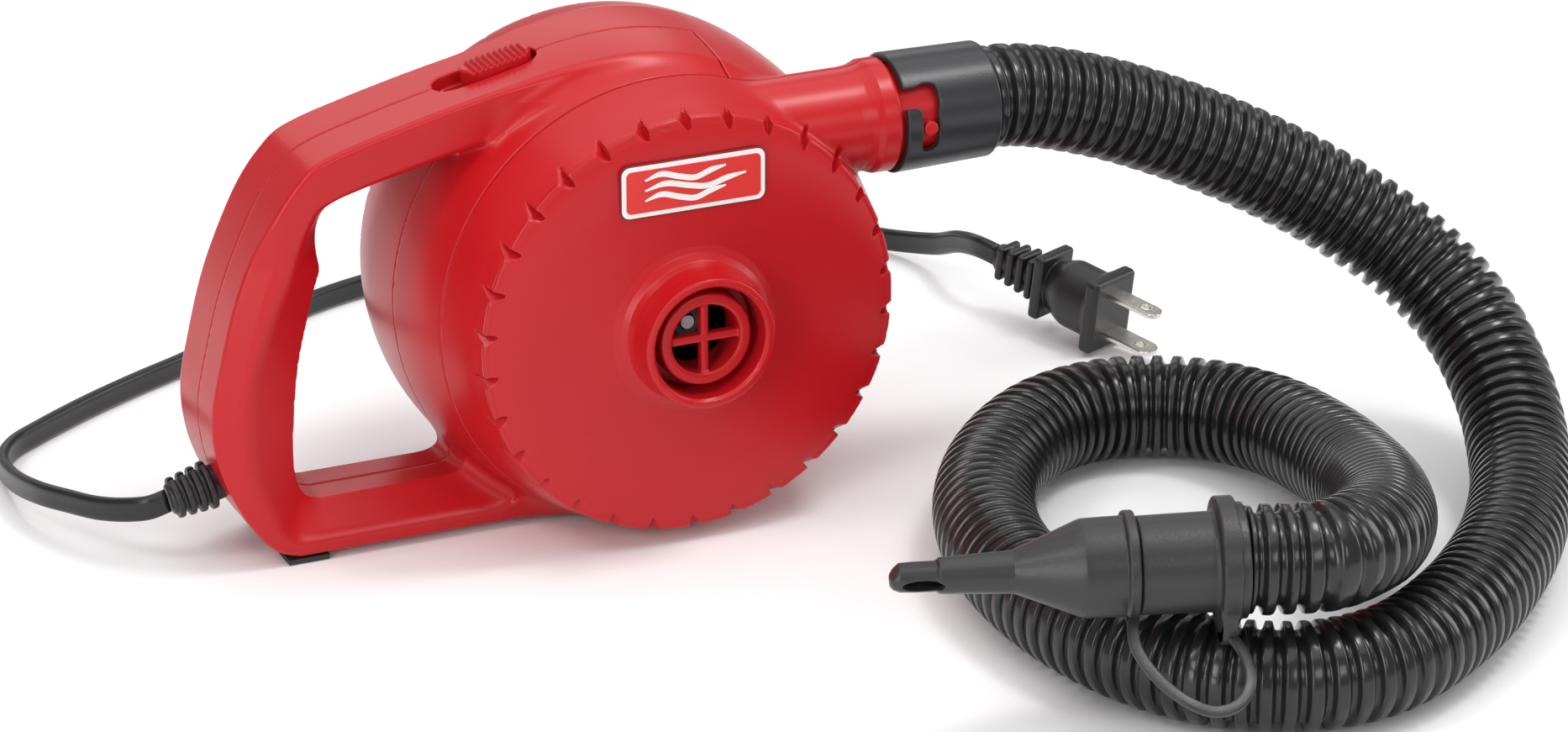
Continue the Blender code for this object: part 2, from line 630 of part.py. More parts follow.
def badge(frame):
    box("badge", (-0.0200, FACE_Y - 0.0006, 0.0365), (0.0200, FACE_Y - 0.0001, 0.0500), "badge",
        frame)


# ---------------------------------------------------------------- switch

def stadium(name, length, width, low, high, centre_x, look, parent):
    """An upright body with round ends."""
    half = width / 2
    reach = length / 2 - half
    outline = []
    for centre, start in ((reach, -90), (-reach, 90)):
        for step in range(9):
            angle = math.radians(start + 22.5 * step)
            outline.append((centre_x + centre + half * math.cos(angle), half * math.sin(angle)))
    return loft(name, [(x, y, low) for x, y in outline], [(x, y, high) for x, y in outline], look,
                parent)


def switch(switch_frame):
    button = stadium("switch_button", BUTTON_LENGTH, BUTTON_WIDTH, -SLOT_DEPTH + GAP, 0.0026,
                     BUTTON_X, "red_plastic", switch_frame)
    bm = bmesh.new()
    for i in range(11):
        x = BUTTON_X + (i - 5) * 0.0018
        place = Matrix.Translation((x, 0, 0.0026)) @ Matrix.Rotation(math.radians(45), 4, "Y")
        bmesh.ops.create_cube(bm, size=1.0, matrix=place @ Matrix.Diagonal((0.0009, 0.02, 0.0009, 1)))
    cut(button, from_bmesh("button_grooves", bm, None, switch_frame))
    stem = box("button_stem", (BUTTON_X - 0.002, -0.0018, -0.0068), (BUTTON_X + 0.002, 0.0018, 0.0),
               None, switch_frame)
    join(button, stem)
    slider = box("switch_slider", (BUTTON_X - 0.0035, -0.0030, -0.0090),
                 (BUTTON_X + 0.0035, 0.0030, -0.0068 - GAP), "white_nylon", switch_frame)
    body = box("switch_body", (-0.0085, -0.0047, -0.0180), (0.0090, 0.0047, -0.0095), "dark_plastic",
               switch_frame)
    return button, slider, body


# ---------------------------------------------------------------- fan and motor

def fan_plate(frame):
    """The wall between the fan chamber and the motor, which carries the motor."""
    item = turned("fan_plate", [(0.0090, -0.0225), (0.0640, -0.0225), (0.0640, -0.0200),
                                (0.0090, -0.0200)], "dark_plastic", frame)
    cut(item, base_cutter("plate_floor", frame, BASE_Z + WALL + GAP))
    for i, x in enumerate((-0.015, 0.015)):
        cut(item, rod(f"plate_hole_{i}", (x, -0.03, 0), (x, -0.01, 0), 0.0015 + GAP, None, frame, 12))
    return weld(item)


def impeller(frame):
    """Backward-curved blades between a back disc and the hub."""
    item = turned("impeller", [(0.0023, -0.0415), (0.0070, -0.0415), (0.0085, -0.0300),
                               (0.0480, -0.0275), (0.0480, -0.0262), (0.0070, -0.0262),
                               (0.0023, -0.0262)], "dark_plastic", frame, steps=36)
    for i in range(9):
        spin = Matrix.Rotation(math.radians(40 * i), 4, "Y")
        lean = Matrix.Rotation(math.radians(32), 4, "Y")
        place = spin @ Matrix.Translation((0, 0, 0.0150)) @ lean
        blade = box(f"fan_blade_{i}", (-0.0008, -0.0400, -0.0020), (0.0008, -0.0270, 0.0300), None,
                    frame, turn=place)
        join(item, blade)
    return weld(item)


def motor(frame):
    turned("motor_can", [(0.0062, -0.0196), (MOTOR_R, -0.0196), (MOTOR_R, 0.0270),
                         (MOTOR_R - 0.0016, 0.0270), (MOTOR_R - 0.0016, -0.0180), (0.0062, -0.0180)],
           "steel", frame, steps=36)
    turned("motor_end_cap", [(0.0048, 0.0273), (MOTOR_R, 0.0273), (MOTOR_R, 0.0300),
                             (0.0048, 0.0300)], "dark_plastic", frame, steps=36)
    turned("front_bush", [(SHAFT_R + 0.0002, -0.0212), (0.0059, -0.0212), (0.0059, -0.0165),
                          (SHAFT_R + 0.0002, -0.0165)], "bronze", frame, steps=20)
    turned("rear_bush", [(SHAFT_R + 0.0002, 0.0262), (0.0045, 0.0262), (0.0045, 0.0312),
                         (SHAFT_R + 0.0002, 0.0312)], "bronze", frame, steps=20)
    for word, side in (("upper", 1), ("lower", -1)):
        magnet = turned(f"magnet_{word}", [(0.0180, -0.0100), (0.0251, -0.0100), (0.0251, 0.0160),
                                           (0.0180, 0.0160)], "magnet", frame, steps=36)
        cut(magnet, box(f"magnet_{word}_cut", (-0.03, -0.02, -0.03 if side > 0 else -0.008),
                        (0.03, 0.03, 0.008 if side > 0 else 0.03), None, frame))
    for i, x in enumerate((-0.015, 0.015)):
        item = rod(f"motor_screw_{i + 1}", (x, -0.0235, 0), (x, -0.0200, 0), 0.0015, "steel", frame, 12)
        join(item, rod(f"motor_screw_head_{i}", (x, -0.0245, 0), (x, -0.0225 - GAP, 0), 0.0028, None,
                       frame, 14))


def rotor(frame):
    rod("motor_shaft", (0, -0.0445, 0), (0, 0.0385, 0), SHAFT_R, "steel", frame, sides=20)
    bore = SHAFT_R + GAP
    core = turned("armature_core", [(bore, -0.0080), (ARMATURE_R, -0.0080), (ARMATURE_R, 0.0130),
                                    (bore, 0.0130)], "steel", frame, steps=36)
    bm = bmesh.new()
    for i in range(8):
        spin = Matrix.Rotation(math.radians(45 * i), 4, "Y")
        size = Matrix.Diagonal((0.0022, 0.03, 0.0080, 1.0))
        bmesh.ops.create_cube(bm, size=1.0, matrix=spin @ Matrix.Translation((0, 0.0025, 0.0135)) @ size)
    cut(core, from_bmesh("armature_slots", bm, None, frame))
    for word, low, high in (("front", -0.0130, -0.0083), ("rear", 0.0133, 0.0174)):
        turned(f"winding_{word}", [(bore, low), (0.0110, low), (0.0140, (low + high) / 2),
                                   (0.0110, high), (bore, high)], "copper", frame, steps=24)
    turned("commutator", [(bore, 0.0182), (0.0065, 0.0182), (0.0065, 0.0255), (bore, 0.0255)],
           "copper", frame, steps=24)
    turned("impeller_nut", [(0.0027, -0.0438), (0.0045, -0.0438), (0.0045, -0.0418),
                            (0.0027, -0.0418)], "steel", frame, steps=6)
    fan = turned("cooling_fan", [(bore, 0.0318), (0.0055, 0.0318), (0.0055, 0.0332),
                                 (0.0210, 0.0332), (0.0210, 0.0342), (0.0055, 0.0342),
                                 (0.0055, 0.0380), (bore, 0.0380)], "dark_plastic", frame, steps=24)
    for i in range(7):
        spin = Matrix.Rotation(math.radians(360.0 * i / 7), 4, "Y")
        join(fan, box(f"cooling_blade_{i}", (-0.0006, 0.0338, 0.0050), (0.0006, 0.0385, 0.0205), None,
                      frame, turn=spin))
    weld(fan)


def brushes(frame):
    """A carbon brush in a holder on each side of the commutator, with the spring behind it."""
    for word, side in (("left", -1), ("right", 1)):
        near, far = 0.0068, 0.0125
        xs = sorted((side * near, side * far))
        box(f"brush_{word}", (xs[0], 0.0194, -0.0022), (xs[1], 0.0240, 0.0022), "carbon", frame)
        xs = sorted((side * 0.0085, side * 0.0225))
        holder = box(f"brush_holder_{word}", (xs[0], 0.0180, -0.0037), (xs[1], 0.0256, 0.0037),
                     "bronze", frame)
        xs = sorted((side * 0.0080, side * 0.0213))
        cut(holder, box(f"holder_{word}_bore", (xs[0], 0.0191, -0.0026), (xs[1], 0.0243, 0.0026),
                        None, frame))
        turns, start, end = 3.0, 0.0134, 0.0205
        points = []
        for i in range(25):
            share = i / 24
            angle = 2 * math.pi * turns * share
            points.append((side * (start + (end - start) * share), 0.0217 + 0.0015 * math.cos(angle),
                           0.0015 * math.sin(angle)))
        tube(f"brush_spring_{word}", points, 0.00035, "steel", frame, 1)


def wire_run(y):
    """The way of a wire up the handle's channel."""
    return [(x, y, z) for x, z in CHANNEL[:-1]]


def electrics(frame):
    """The rectifier board and the wires from the cord by way of the switch to the motor."""
    board = box("rectifier_board", (-0.0480, 0.0060, -0.0330), (-0.0465, 0.0300, -0.0090),
                "board_green", frame)
    for i, (y, z) in enumerate(((0.011, -0.028), (0.011, -0.014), (0.023, -0.028), (0.023, -0.014))):
        join(board, rod(f"diode_{i}", (-0.0470, y, z), (-0.0420, y, z), 0.0022, None, frame, 10))
    weld(board)
    routes = {
        "wire_live": wire_run(0.0016) + [(-0.0502, 0.0016, 0.0526)],
        "wire_neutral": wire_run(-0.0016) + [(-0.0508, -0.0014, 0.0526), (-0.0494, -0.0014, 0.0496),
                                             (-0.0487, -0.0012, 0.0460), (-0.0478, 0.0040, 0.0330),
                                             (-0.0474, 0.0090, 0.0120), (-0.0473, 0.0110, -0.0085)],
        "wire_switched": [(-0.0283, 0.0020, 0.0530), (-0.0310, 0.0120, 0.0480), (-0.0400, 0.0220, 0.0230),
                          (-0.0473, 0.0240, -0.0085)],
        "wire_motor_plus": [(-0.0400, 0.0110, -0.0210), (-0.0340, 0.0180, -0.0140),
                            (-0.0310, 0.0330, -0.0060), (-0.0240, 0.0335, -0.0010)],
        "wire_motor_minus": [(-0.0400, 0.0250, -0.0210), (-0.0330, 0.0330, -0.0330),
                             (0.0000, 0.0345, -0.0400), (0.0260, 0.0340, -0.0200),
                             (0.0240, 0.0335, -0.0030)],
    }
    looks = {"wire_live": "carbon", "wire_neutral": "white_nylon", "wire_switched": "carbon",
             "wire_motor_plus": "badge", "wire_motor_minus": "carbon"}
    for name, route in routes.items():
        tube(name, smooth_route(route, 2 * len(route)), 0.0009, looks[name], frame, 1)


# ---------------------------------------------------------------- hose, nozzle and cord

def hose_connector(frame):
    """The black bayonet sleeve: two J slots take the outlet's pins."""
    item = turned("hose_connector", [(CONNECTOR_BORE_R, CONNECTOR_X), (0.0173, CONNECTOR_X),
                                     (0.0168, CONNECTOR_END_X - 0.0015),
                                     (0.0163, CONNECTOR_END_X), (CONNECTOR_BORE_R, CONNECTOR_END_X)],
                  "dark_plastic", frame, steps=40, place=ALONG_X)
    for side, word in ((1, "front"), (-1, "rear")):
        sweeps = (("mouth", CONNECTOR_X - 0.001, PIN_X + 0.0026, 21.0, 42.0),
                  ("lock", PIN_X - 0.0026, PIN_X + 0.0026, -24.5, 42.0))
        for part, x0, x1, start, end in sweeps:
            cut(item, sector(f"slot_{word}_{part}", x0, x1, start, end, side, frame))
    return weld(item)


def sector(name, x0, x1, start, end, side, frame):
    """A bent block round the outlet axis, from start to end degrees above the front (or rear)."""
    steps = max(2, round((end - start) / 10))
    bm = bmesh.new()
    rings = []
    for i in range(steps + 1):
        angle = math.radians(start + (end - start) * i / steps)
        y, z = -side * math.cos(angle), side * math.sin(angle)
        rings.append([bm.verts.new((x, OUTLET_Y + r * y, OUTLET_Z + r * z))
                      for x, r in ((x0, 0.0140), (x1, 0.0140), (x1, 0.0200), (x0, 0.0200))])
    bm.faces.new(rings[0])
    bm.faces.new(rings[-1])
    for first, second in zip(rings, rings[1:]):
        for i in range(4):
            j = (i + 1) % 4
            bm.faces.new((first[i], first[j], second[j], second[i]))
    return from_bmesh(name, bm, None, frame)


def along(start, end):
    """The placement whose own Y runs from start to end."""
    turn = (end - start).to_track_quat("Y", "Z").to_matrix().to_4x4()
    return Matrix.Translation(start) @ turn


def nozzle_end():
    """The nozzle, the cuff on the hose that it plugs into, and the strap that ties them."""
    place = along(NOZZLE_TIP, CUFF_END)
    length = (CUFF_END - NOZZLE_TIP).length
    outside = NOZZLE_PROFILE + [(0.0133, NOZZLE_END - 0.0022), (FLANGE_R, NOZZLE_END - 0.0020),
                                (FLANGE_R, NOZZLE_END), (0.0113, NOZZLE_END),
                                (0.0112, NOZZLE_END + 0.0160)]
    inside = [(0.0098, NOZZLE_END + 0.0160), (0.0098, NOZZLE_END - 0.0060), (0.0040, 0.0350),
              (0.0032, 0.0)]
    turned("nozzle", outside + inside, "nozzle_grey", None, steps=24, place=place)
    start = NOZZLE_END + GAP
    cuff = [(0.0117, start), (0.0133, start), (0.0135, length - 0.0105), (0.0172, length - 0.0090),
            (0.0172, length - 0.0030), (0.0160, length - GAP), (0.0098, length - GAP),
            (0.0098, length - 0.0060), (0.0117, length - 0.0085)]
    turned("hose_cuff", cuff, "nozzle_grey", None, steps=24, place=place)
    strap_start = place @ Vector((0.0, NOZZLE_END - 0.0010, 0.0))
    strap_end = place @ Vector((0.0, length - 0.0060, 0.0))
    front = Vector((0.0, -1.0, 0.0))
    down = Vector((0.0, 0.0, -1.0))
    route = [strap_start + front * 0.0105 + down * 0.0135, Vector((0.0720, -0.2140, 0.0300)),
             Vector((0.0725, -0.2230, 0.0268)), Vector((0.0765, -0.2310, 0.0236)),
             Vector((0.0823, -0.2340, 0.0215)), Vector((0.0891, -0.2340, 0.0223)),
             Vector((0.0943, -0.2300, 0.0254)), Vector((0.0972, -0.2230, 0.0290)),
             strap_end + front * 0.0120 + down * 0.0150]
    tube("tether_strap", smooth_route(route, 18), 0.0015, "nozzle_grey")


def strain_relief(frame):
    """A ribbed sleeve, tapering towards the cord."""
    profile = [(0.0, 0.0), (0.0052, 0.0), (0.0052, 0.0084)]
    for i in range(4):
        start = 0.0088 + 0.0032 * i
        radius = 0.0071 - 0.0004 * i
        profile += [(radius, start), (radius, start + 0.0018), (0.0050, start + 0.0020),
                    (0.0050, start + 0.0031)]
    profile = profile[:-2] + [(0.0, RELIEF_LENGTH)]
    turned("strain_relief", profile, "cord_black", frame, closed=False, steps=16,
           place=along(RELIEF_START, RELIEF_START + RELIEF_AXIS))


def plug():
    """A moulded two-blade plug: ribbed neck, collar, body and face plate."""
    place = along(PLUG_FACE, PLUG_FACE + PLUG_AXIS)
    width, height, depth = (PLATE_SIZE[0] / 2, PLATE_SIZE[1] / 2, PLATE_SIZE[2])
    body = box("plug_body", (-width, -depth, -height), (width, 0, height), "cord_black", None, place)
    sections = ((-0.0180, -depth + 0.001, 0.0082, 0.0106), (-0.0230, -0.0178, 0.0066, 0.0088),
                (-0.0270, -0.0228, 0.0078, 0.0105),
                (-0.0310, -0.0268, 0.0048, 0.0062), (-0.0338, -0.0308, 0.0036, 0.0045),
                (-0.0366, -0.0336, 0.0050, 0.0062), (-0.0394, -0.0364, 0.0036, 0.0045),
                (-PLUG_LENGTH, -0.0392, 0.0050, 0.0062))
    for i, (start, end, half_x, half_z) in enumerate(sections):
        join(body, box(f"plug_part_{i}", (-half_x, start, -half_z), (half_x, end, half_z), None, None,
                       place))
    weld(body)
    for word, side, half in (("live", 1, 0.0032), ("neutral", -1, 0.0040)):
        z = side * BLADE_SPACING / 2
        blade = box(f"blade_{word}", (-half, GAP, z - BLADE_THICKNESS / 2),
                    (half, BLADE_LENGTH, z + BLADE_THICKNESS / 2), "blade_metal", None, place)
        bm = bmesh.new()
        add_rod(bm, (0, 0.0120, z - 0.002), (0, 0.0120, z + 0.002), 0.0016, 14)
        hole = from_bmesh(f"blade_{word}_hole", bm, None, None)
        hole.data.transform(place)
        cut(blade, hole)


def main():
    clear_scene()
    bpy.context.scene.collection.children.link(PARTS)
    bpy.context.scene.collection.children.link(CUTTERS)
    frame = empty("fan_axis", FAN_AXIS)
    switch_frame = empty("switch_frame", SWITCH_CENTRE, frame, (0, -SWITCH_SLOPE, 0))
    shell("front_housing", "front", frame, switch_frame)
    shell("rear_housing", "rear", frame, switch_frame)
    front_cover(frame)
    inlet_grille(frame)
    rear_cover(frame)
    rear_cover_screws(frame)
    handle_screws(frame)
    feet(frame)
    badge(frame)
    switch(switch_frame)
    fan_plate(frame)
    impeller(frame)
    motor(frame)
    rotor(frame)
    brushes(frame)
    electrics(frame)
    hose_connector(frame)
    strain_relief(frame)
    tube("air_hose", smooth_route(HOSE_ROUTE, HOSE_POINTS), HOSE_R, "hose_black", None, 4)
    nozzle_end()
    tube("power_cord", smooth_route(CORD_ROUTE, CORD_POINTS), CORD_R, "cord_black")
    plug()
    bpy.context.view_layer.update()


main()
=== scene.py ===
"""Looks of the electric air mattress pump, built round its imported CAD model.

The moulded pieces are distance functions in millimetres, meshed by dual contouring, which keeps both the
soft fillets and the crisp edges. Their frame is the fan's: x and z from the fan axis, y from the seam.
"""
import math

import bpy
import numpy as np
from mathutils import Matrix, Vector


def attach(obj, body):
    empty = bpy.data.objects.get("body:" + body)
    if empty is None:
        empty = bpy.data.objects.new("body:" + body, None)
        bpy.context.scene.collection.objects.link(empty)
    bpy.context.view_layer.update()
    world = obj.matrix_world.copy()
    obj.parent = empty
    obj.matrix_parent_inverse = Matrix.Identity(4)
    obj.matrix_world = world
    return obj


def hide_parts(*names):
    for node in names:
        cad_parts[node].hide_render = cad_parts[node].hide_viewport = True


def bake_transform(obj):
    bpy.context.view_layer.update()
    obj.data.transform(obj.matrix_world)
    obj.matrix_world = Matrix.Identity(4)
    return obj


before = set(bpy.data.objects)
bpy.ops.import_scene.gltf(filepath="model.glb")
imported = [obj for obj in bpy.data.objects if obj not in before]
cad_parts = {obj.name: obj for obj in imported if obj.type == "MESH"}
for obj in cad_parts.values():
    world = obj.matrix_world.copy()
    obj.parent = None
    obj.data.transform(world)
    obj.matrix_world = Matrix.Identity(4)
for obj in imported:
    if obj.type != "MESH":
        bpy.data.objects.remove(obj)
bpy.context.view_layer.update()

# Driving dimensions, in mm in the fan frame unless a comment says otherwise.
FAN = np.array([16.5, 7.0, 66.5])       # the fan frame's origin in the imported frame
TABLE_MARGIN = 14.0                     # how far an outline's table reaches past it
TABLE_STEP = 0.25
BASE_Z = -65.0                          # the housing's flat underside
SEAM = 0.15                             # half the gap between the two housing halves
COVER_BACK_Y = -26.15
SHELL_FRONT_Y = -25.85
HANDLE_HALF = 17.0
RIM_HALF = 9.2                          # half the width of the rim round the handle's opening
RIM_TO_SIDE = 7.8
NOTCH_START = 11.4                      # degrees
NOTCH_PITCH = 12.0                      # degrees
HALF_ROOT = 0.70711                     # the square root of a half
OUTLET_Y, OUTLET_Z = -28.0, 46.6
OUTLET_BORE_R = 11.8
PIN_X, PIN_R = 74.6, 2.1
SLEEVE_X, SLEEVE_END_X = 67.5, 97.0
SLEEVE_BORE_R = 15.15
SWITCH = (-42.5, 66.4, math.radians(11.9))
SLOT_LENGTH, SLOT_WIDTH = 31.2, 10.9
BUTTON_LENGTH, BUTTON_WIDTH = 21.2, 9.4
BUTTON_SHIFT = 3.6                      # from the slot's middle, when switched off
BLADE_OFFSET = 6.35                     # half the spacing of the plug's blades
BLADE_LENGTH = 17.5
BLADE_HALF_THICKNESS = 0.75
RELIEF_START = np.array([-118.5, 0, -43.0])
RELIEF_AXIS = np.array([-0.975, 0, -0.222])
SENSOR_WIDTH = 36.0
FOCAL_LENGTH = 139.38907


# ---------------------------------------------------------------- distance functions

def smax(a, b, k):
    h = np.maximum(k - np.abs(a - b), 0.0) / k
    return np.maximum(a, b) + h * h * k * 0.25


def smin(a, b, k):
    return -smax(-a, -b, k)


def catmull(points, each):
    """A smooth centripetal curve through the points."""
    p = np.asarray(points, float)
    p = np.vstack([2 * p[0] - p[1], p, 2 * p[-1] - p[-2]])
    out = []
    for i in range(1, len(p) - 2):
        a, b, c, d = p[i - 1:i + 3]
        t = [0.0]
        for m, n in ((a, b), (b, c), (c, d)):
            t.append(t[-1] + max(np.linalg.norm(n - m), 1e-9) ** 0.5)
        u = np.linspace(t[1], t[2], each, endpoint=False)[:, None]
        a1 = (t[1] - u) / (t[1] - t[0]) * a + (u - t[0]) / (t[1] - t[0]) * b
        a2 = (t[2] - u) / (t[2] - t[1]) * b + (u - t[1]) / (t[2] - t[1]) * c
        a3 = (t[3] - u) / (t[3] - t[2]) * c + (u - t[2]) / (t[3] - t[2]) * d
        b1 = (t[2] - u) / (t[2] - t[0]) * a1 + (u - t[0]) / (t[2] - t[0]) * a2
        b2 = (t[3] - u) / (t[3] - t[1]) * a2 + (u - t[1]) / (t[3] - t[1]) * a3
        out.append((t[2] - u) / (t[2] - t[1]) * b1 + (u - t[1]) / (t[2] - t[1]) * b2)
    return np.vstack(out + [p[-2][None]])


class Outline:
    """Signed distance to a closed outline, looked up in a table."""

    def __init__(self, points):
        p = np.asarray(points, float)
        self.low = p.min(0) - TABLE_MARGIN
        u = np.arange(self.low[0], p[:, 0].max() + TABLE_MARGIN, TABLE_STEP)
        v = np.arange(self.low[1], p[:, 1].max() + TABLE_MARGIN, TABLE_STEP)
        u, v = np.meshgrid(u, v, indexing="ij")
        best = np.full(u.shape, 1e12)
        sign = np.ones(u.shape)
        for a, b in zip(p, np.roll(p, -1, 0)):
            e = b - a
            length = e @ e
            if length < 1e-12:
                continue
            wu, wv = u - a[0], v - a[1]
            t = np.clip((wu * e[0] + wv * e[1]) / length, 0, 1)
            best = np.minimum(best, (wu - e[0] * t) ** 2 + (wv - e[1] * t) ** 2)
            c1, c2, c3 = v >= a[1], v < b[1], e[0] * wv > e[1] * wu
            sign = np.where((c1 & c2 & c3) | (~c1 & ~c2 & ~c3), -sign, sign)
        self.data = (np.sqrt(best) * sign).astype(np.float32)

    def __call__(self, u, v):
        n, m = self.data.shape
        a = np.clip((u - self.low[0]) / TABLE_STEP, 0, n - 1.001)
        b = np.clip((v - self.low[1]) / TABLE_STEP, 0, m - 1.001)
        i, j = a.astype(np.int32), b.astype(np.int32)
        a, b = a - i, b - j
        d = self.data
        return ((d[i, j] * (1 - a) + d[i + 1, j] * a) * (1 - b)
                + (d[i, j + 1] * (1 - a) + d[i + 1, j + 1] * a) * b)


def block(x, y, z, low, high, edge=0.0):
    """Signed distance to a box with rounded edges."""
    q = [np.abs(c - (a + b) / 2) - (b - a) / 2 + edge for c, a, b in zip((x, y, z), low, high)]
    out = np.sqrt(sum(np.maximum(c, 0) ** 2 for c in q))
    return out + np.minimum(np.maximum(np.maximum(q[0], q[1]), q[2]), 0) - edge


def gradient(fn, p, h=0.12):
    g = np.zeros(p.shape)
    for k in ((1, -1, -1), (-1, -1, 1), (-1, 1, -1), (1, 1, 1)):
        k = np.array(k, float)
        q = p + h * k
        g += k * fn(q[:, 0], q[:, 1], q[:, 2])[:, None]
    return g / np.maximum(np.linalg.norm(g, axis=1), 1e-9)[:, None]


def contour(fn, low, high, step):
    """Dual contouring of fn = 0 in the box: vertices, quads and a normal for each quad's corners."""
    axes = [np.arange(a, b + step, step) for a, b in zip(low, high)]
    values = np.empty([len(a) for a in axes], np.float32)
    for i in range(0, len(axes[0]), 16):
        x, y, z = np.meshgrid(axes[0][i:i + 16], axes[1], axes[2], indexing="ij")
        values[i:i + 16] = fn(x, y, z)
    shape = np.array(values.shape) - 1
    strides = np.array([shape[1] * shape[2], shape[2], 1])
    spots, rings = [], []
    for axis in range(3):
        u, v = (axis + 1) % 3, (axis + 2) % 3
        first, second = [slice(None)] * 3, [slice(None)] * 3
        first[axis], second[axis] = slice(None, -1), slice(1, None)
        at = np.argwhere((values[tuple(first)] < 0) != (values[tuple(second)] < 0))
        at = at[(at[:, u] > 0) & (at[:, v] > 0) & (at[:, u] < shape[u]) & (at[:, v] < shape[v])]
        after = at.copy()
        after[:, axis] += 1
        f0, f1 = values[tuple(at.T)], values[tuple(after.T)]
        spot = np.stack([axes[d][at[:, d]] for d in range(3)], 1)
        spot[:, axis] += step * f0 / (f0 - f1)
        ring = []
        for du, dv in ((0, 0), (1, 0), (1, 1), (0, 1)):
            cell = at.copy()
            cell[:, u] -= du
            cell[:, v] -= dv
            ring.append(cell @ strides)
        ring = np.stack(ring, 1)
        ring[f0 > 0] = ring[f0 > 0][:, ::-1]
        spots.append(spot)
        rings.append(ring)
    spots, rings = np.vstack(spots), np.vstack(rings)
    normals = gradient(fn, spots)
    spots -= normals * fn(spots[:, 0], spots[:, 1], spots[:, 2])[:, None] * 0.9
    ids, corner = np.unique(rings.ravel(), return_inverse=True)
    corner = corner.reshape(-1)
    count = np.bincount(corner)

    def total(weights):
        return np.bincount(corner, weights=np.repeat(weights, 4), minlength=len(ids))

    mass = np.stack([total(spots[:, d]) for d in range(3)], 1) / count[:, None]
    matrix = np.empty((len(ids), 3, 3))
    for i in range(3):
        for j in range(i, 3):
            matrix[:, i, j] = matrix[:, j, i] = total(normals[:, i] * normals[:, j])
    reach = (normals * spots).sum(1)
    wanted = np.stack([total(normals[:, d] * reach) for d in range(3)], 1)
    wanted -= np.einsum("nij,nj->ni", matrix, mass)
    matrix += np.eye(3) * 0.04
    verts = mass + np.linalg.solve(matrix, wanted[:, :, None])[:, :, 0]
    cell = np.stack([ids // strides[0], ids % strides[0] // strides[1], ids % strides[1]], 1)
    floor = np.stack([axes[d][cell[:, d]] for d in range(3)], 1)
    verts = np.clip(verts, floor - 0.05 * step, floor + 1.05 * step)
    quads = corner.reshape(-1, 4)
    middle = verts[quads].mean(1)[:, None]
    near = verts[quads] * 0.72 + middle * 0.28
    return verts, quads, gradient(fn, near.reshape(-1, 3), 0.1)


def piece_from(name, verts, faces, normals=None):
    """A mesh object from points in the row frame, in metres."""
    mesh = bpy.data.meshes.new(name)
    mesh.vertices.add(len(verts))
    mesh.vertices.foreach_set("co", np.asarray(verts, np.float32).ravel())
    size = len(faces[0])
    mesh.loops.add(len(faces) * size)
    mesh.loops.foreach_set("vertex_index", np.asarray(faces, np.int32).ravel())
    mesh.polygons.add(len(faces))
    mesh.polygons.foreach_set("loop_start", np.arange(len(faces), dtype=np.int32) * size)
    mesh.update(calc_edges=True)
    mesh.validate()
    mesh.shade_smooth()
    if normals is not None and len(normals) == len(mesh.loops):
        mesh.normals_split_custom_set(np.asarray(normals, float))
    obj = bpy.data.objects.new(name, mesh)
    bpy.context.scene.collection.objects.link(obj)
    return obj


def moulded(name, fn, low, high, step, place=None):
    """The piece whose distance function is fn, in the fan frame or in place's own frame, in mm."""
    verts, quads, normals = contour(fn, low, high, step)
    if place is None:
        world = verts + FAN
    else:
        world = verts @ place[0].T + place[1]
        normals = normals @ place[0].T
    return piece_from(name, world / 1000.0, quads, normals)


# ---------------------------------------------------------------- materials

def nodes_of(name):
    made = bpy.data.materials.new(name)
    made.use_nodes = True
    tree = made.node_tree
    return made, tree, tree.nodes["Principled BSDF"]


def plastic(name, colour, roughness, grain=0.0, scale=900.0, coat=0.0, mottle=0.06, level=0.5):
    """A moulded plastic: slightly uneven colour and gloss, with a fine moulded grain."""
    made, tree, shader = nodes_of(name)
    place = tree.nodes.new("ShaderNodeTexCoord")
    cloud = tree.nodes.new("ShaderNodeTexNoise")
    cloud.inputs["Scale"].default_value = 18.0
    cloud.inputs["Detail"].default_value = 5.0
    tree.links.new(place.outputs["Object"], cloud.inputs["Vector"])
    shade = tree.nodes.new("ShaderNodeValToRGB")
    shade.color_ramp.elements[0].position = 0.3
    shade.color_ramp.elements[1].position = 0.7
    shade.color_ramp.elements[0].color = (*[c * (1 - mottle) for c in colour], 1)
    shade.color_ramp.elements[1].color = (*[min(1, c * (1 + mottle)) for c in colour], 1)
    tree.links.new(cloud.outputs["Fac"], shade.inputs["Fac"])
    tree.links.new(shade.outputs["Color"], shader.inputs["Base Color"])
    gloss = tree.nodes.new("ShaderNodeMapRange")
    gloss.inputs["To Min"].default_value = roughness * 0.88
    gloss.inputs["To Max"].default_value = roughness * 1.12
    tree.links.new(cloud.outputs["Fac"], gloss.inputs["Value"])
    tree.links.new(gloss.outputs["Result"], shader.inputs["Roughness"])
    if grain:
        speck = tree.nodes.new("ShaderNodeTexNoise")
        speck.inputs["Scale"].default_value = scale
        speck.inputs["Detail"].default_value = 3.0
        tree.links.new(place.outputs["Object"], speck.inputs["Vector"])
        bump = tree.nodes.new("ShaderNodeBump")
        bump.inputs["Strength"].default_value = grain
        bump.inputs["Distance"].default_value = 0.0002
        tree.links.new(speck.outputs["Fac"], bump.inputs["Height"])
        tree.links.new(bump.outputs["Normal"], shader.inputs["Normal"])
    shader.inputs["Specular IOR Level"].default_value = level
    shader.inputs["Coat Weight"].default_value = coat
    shader.inputs["Coat Roughness"].default_value = 0.12
    return made


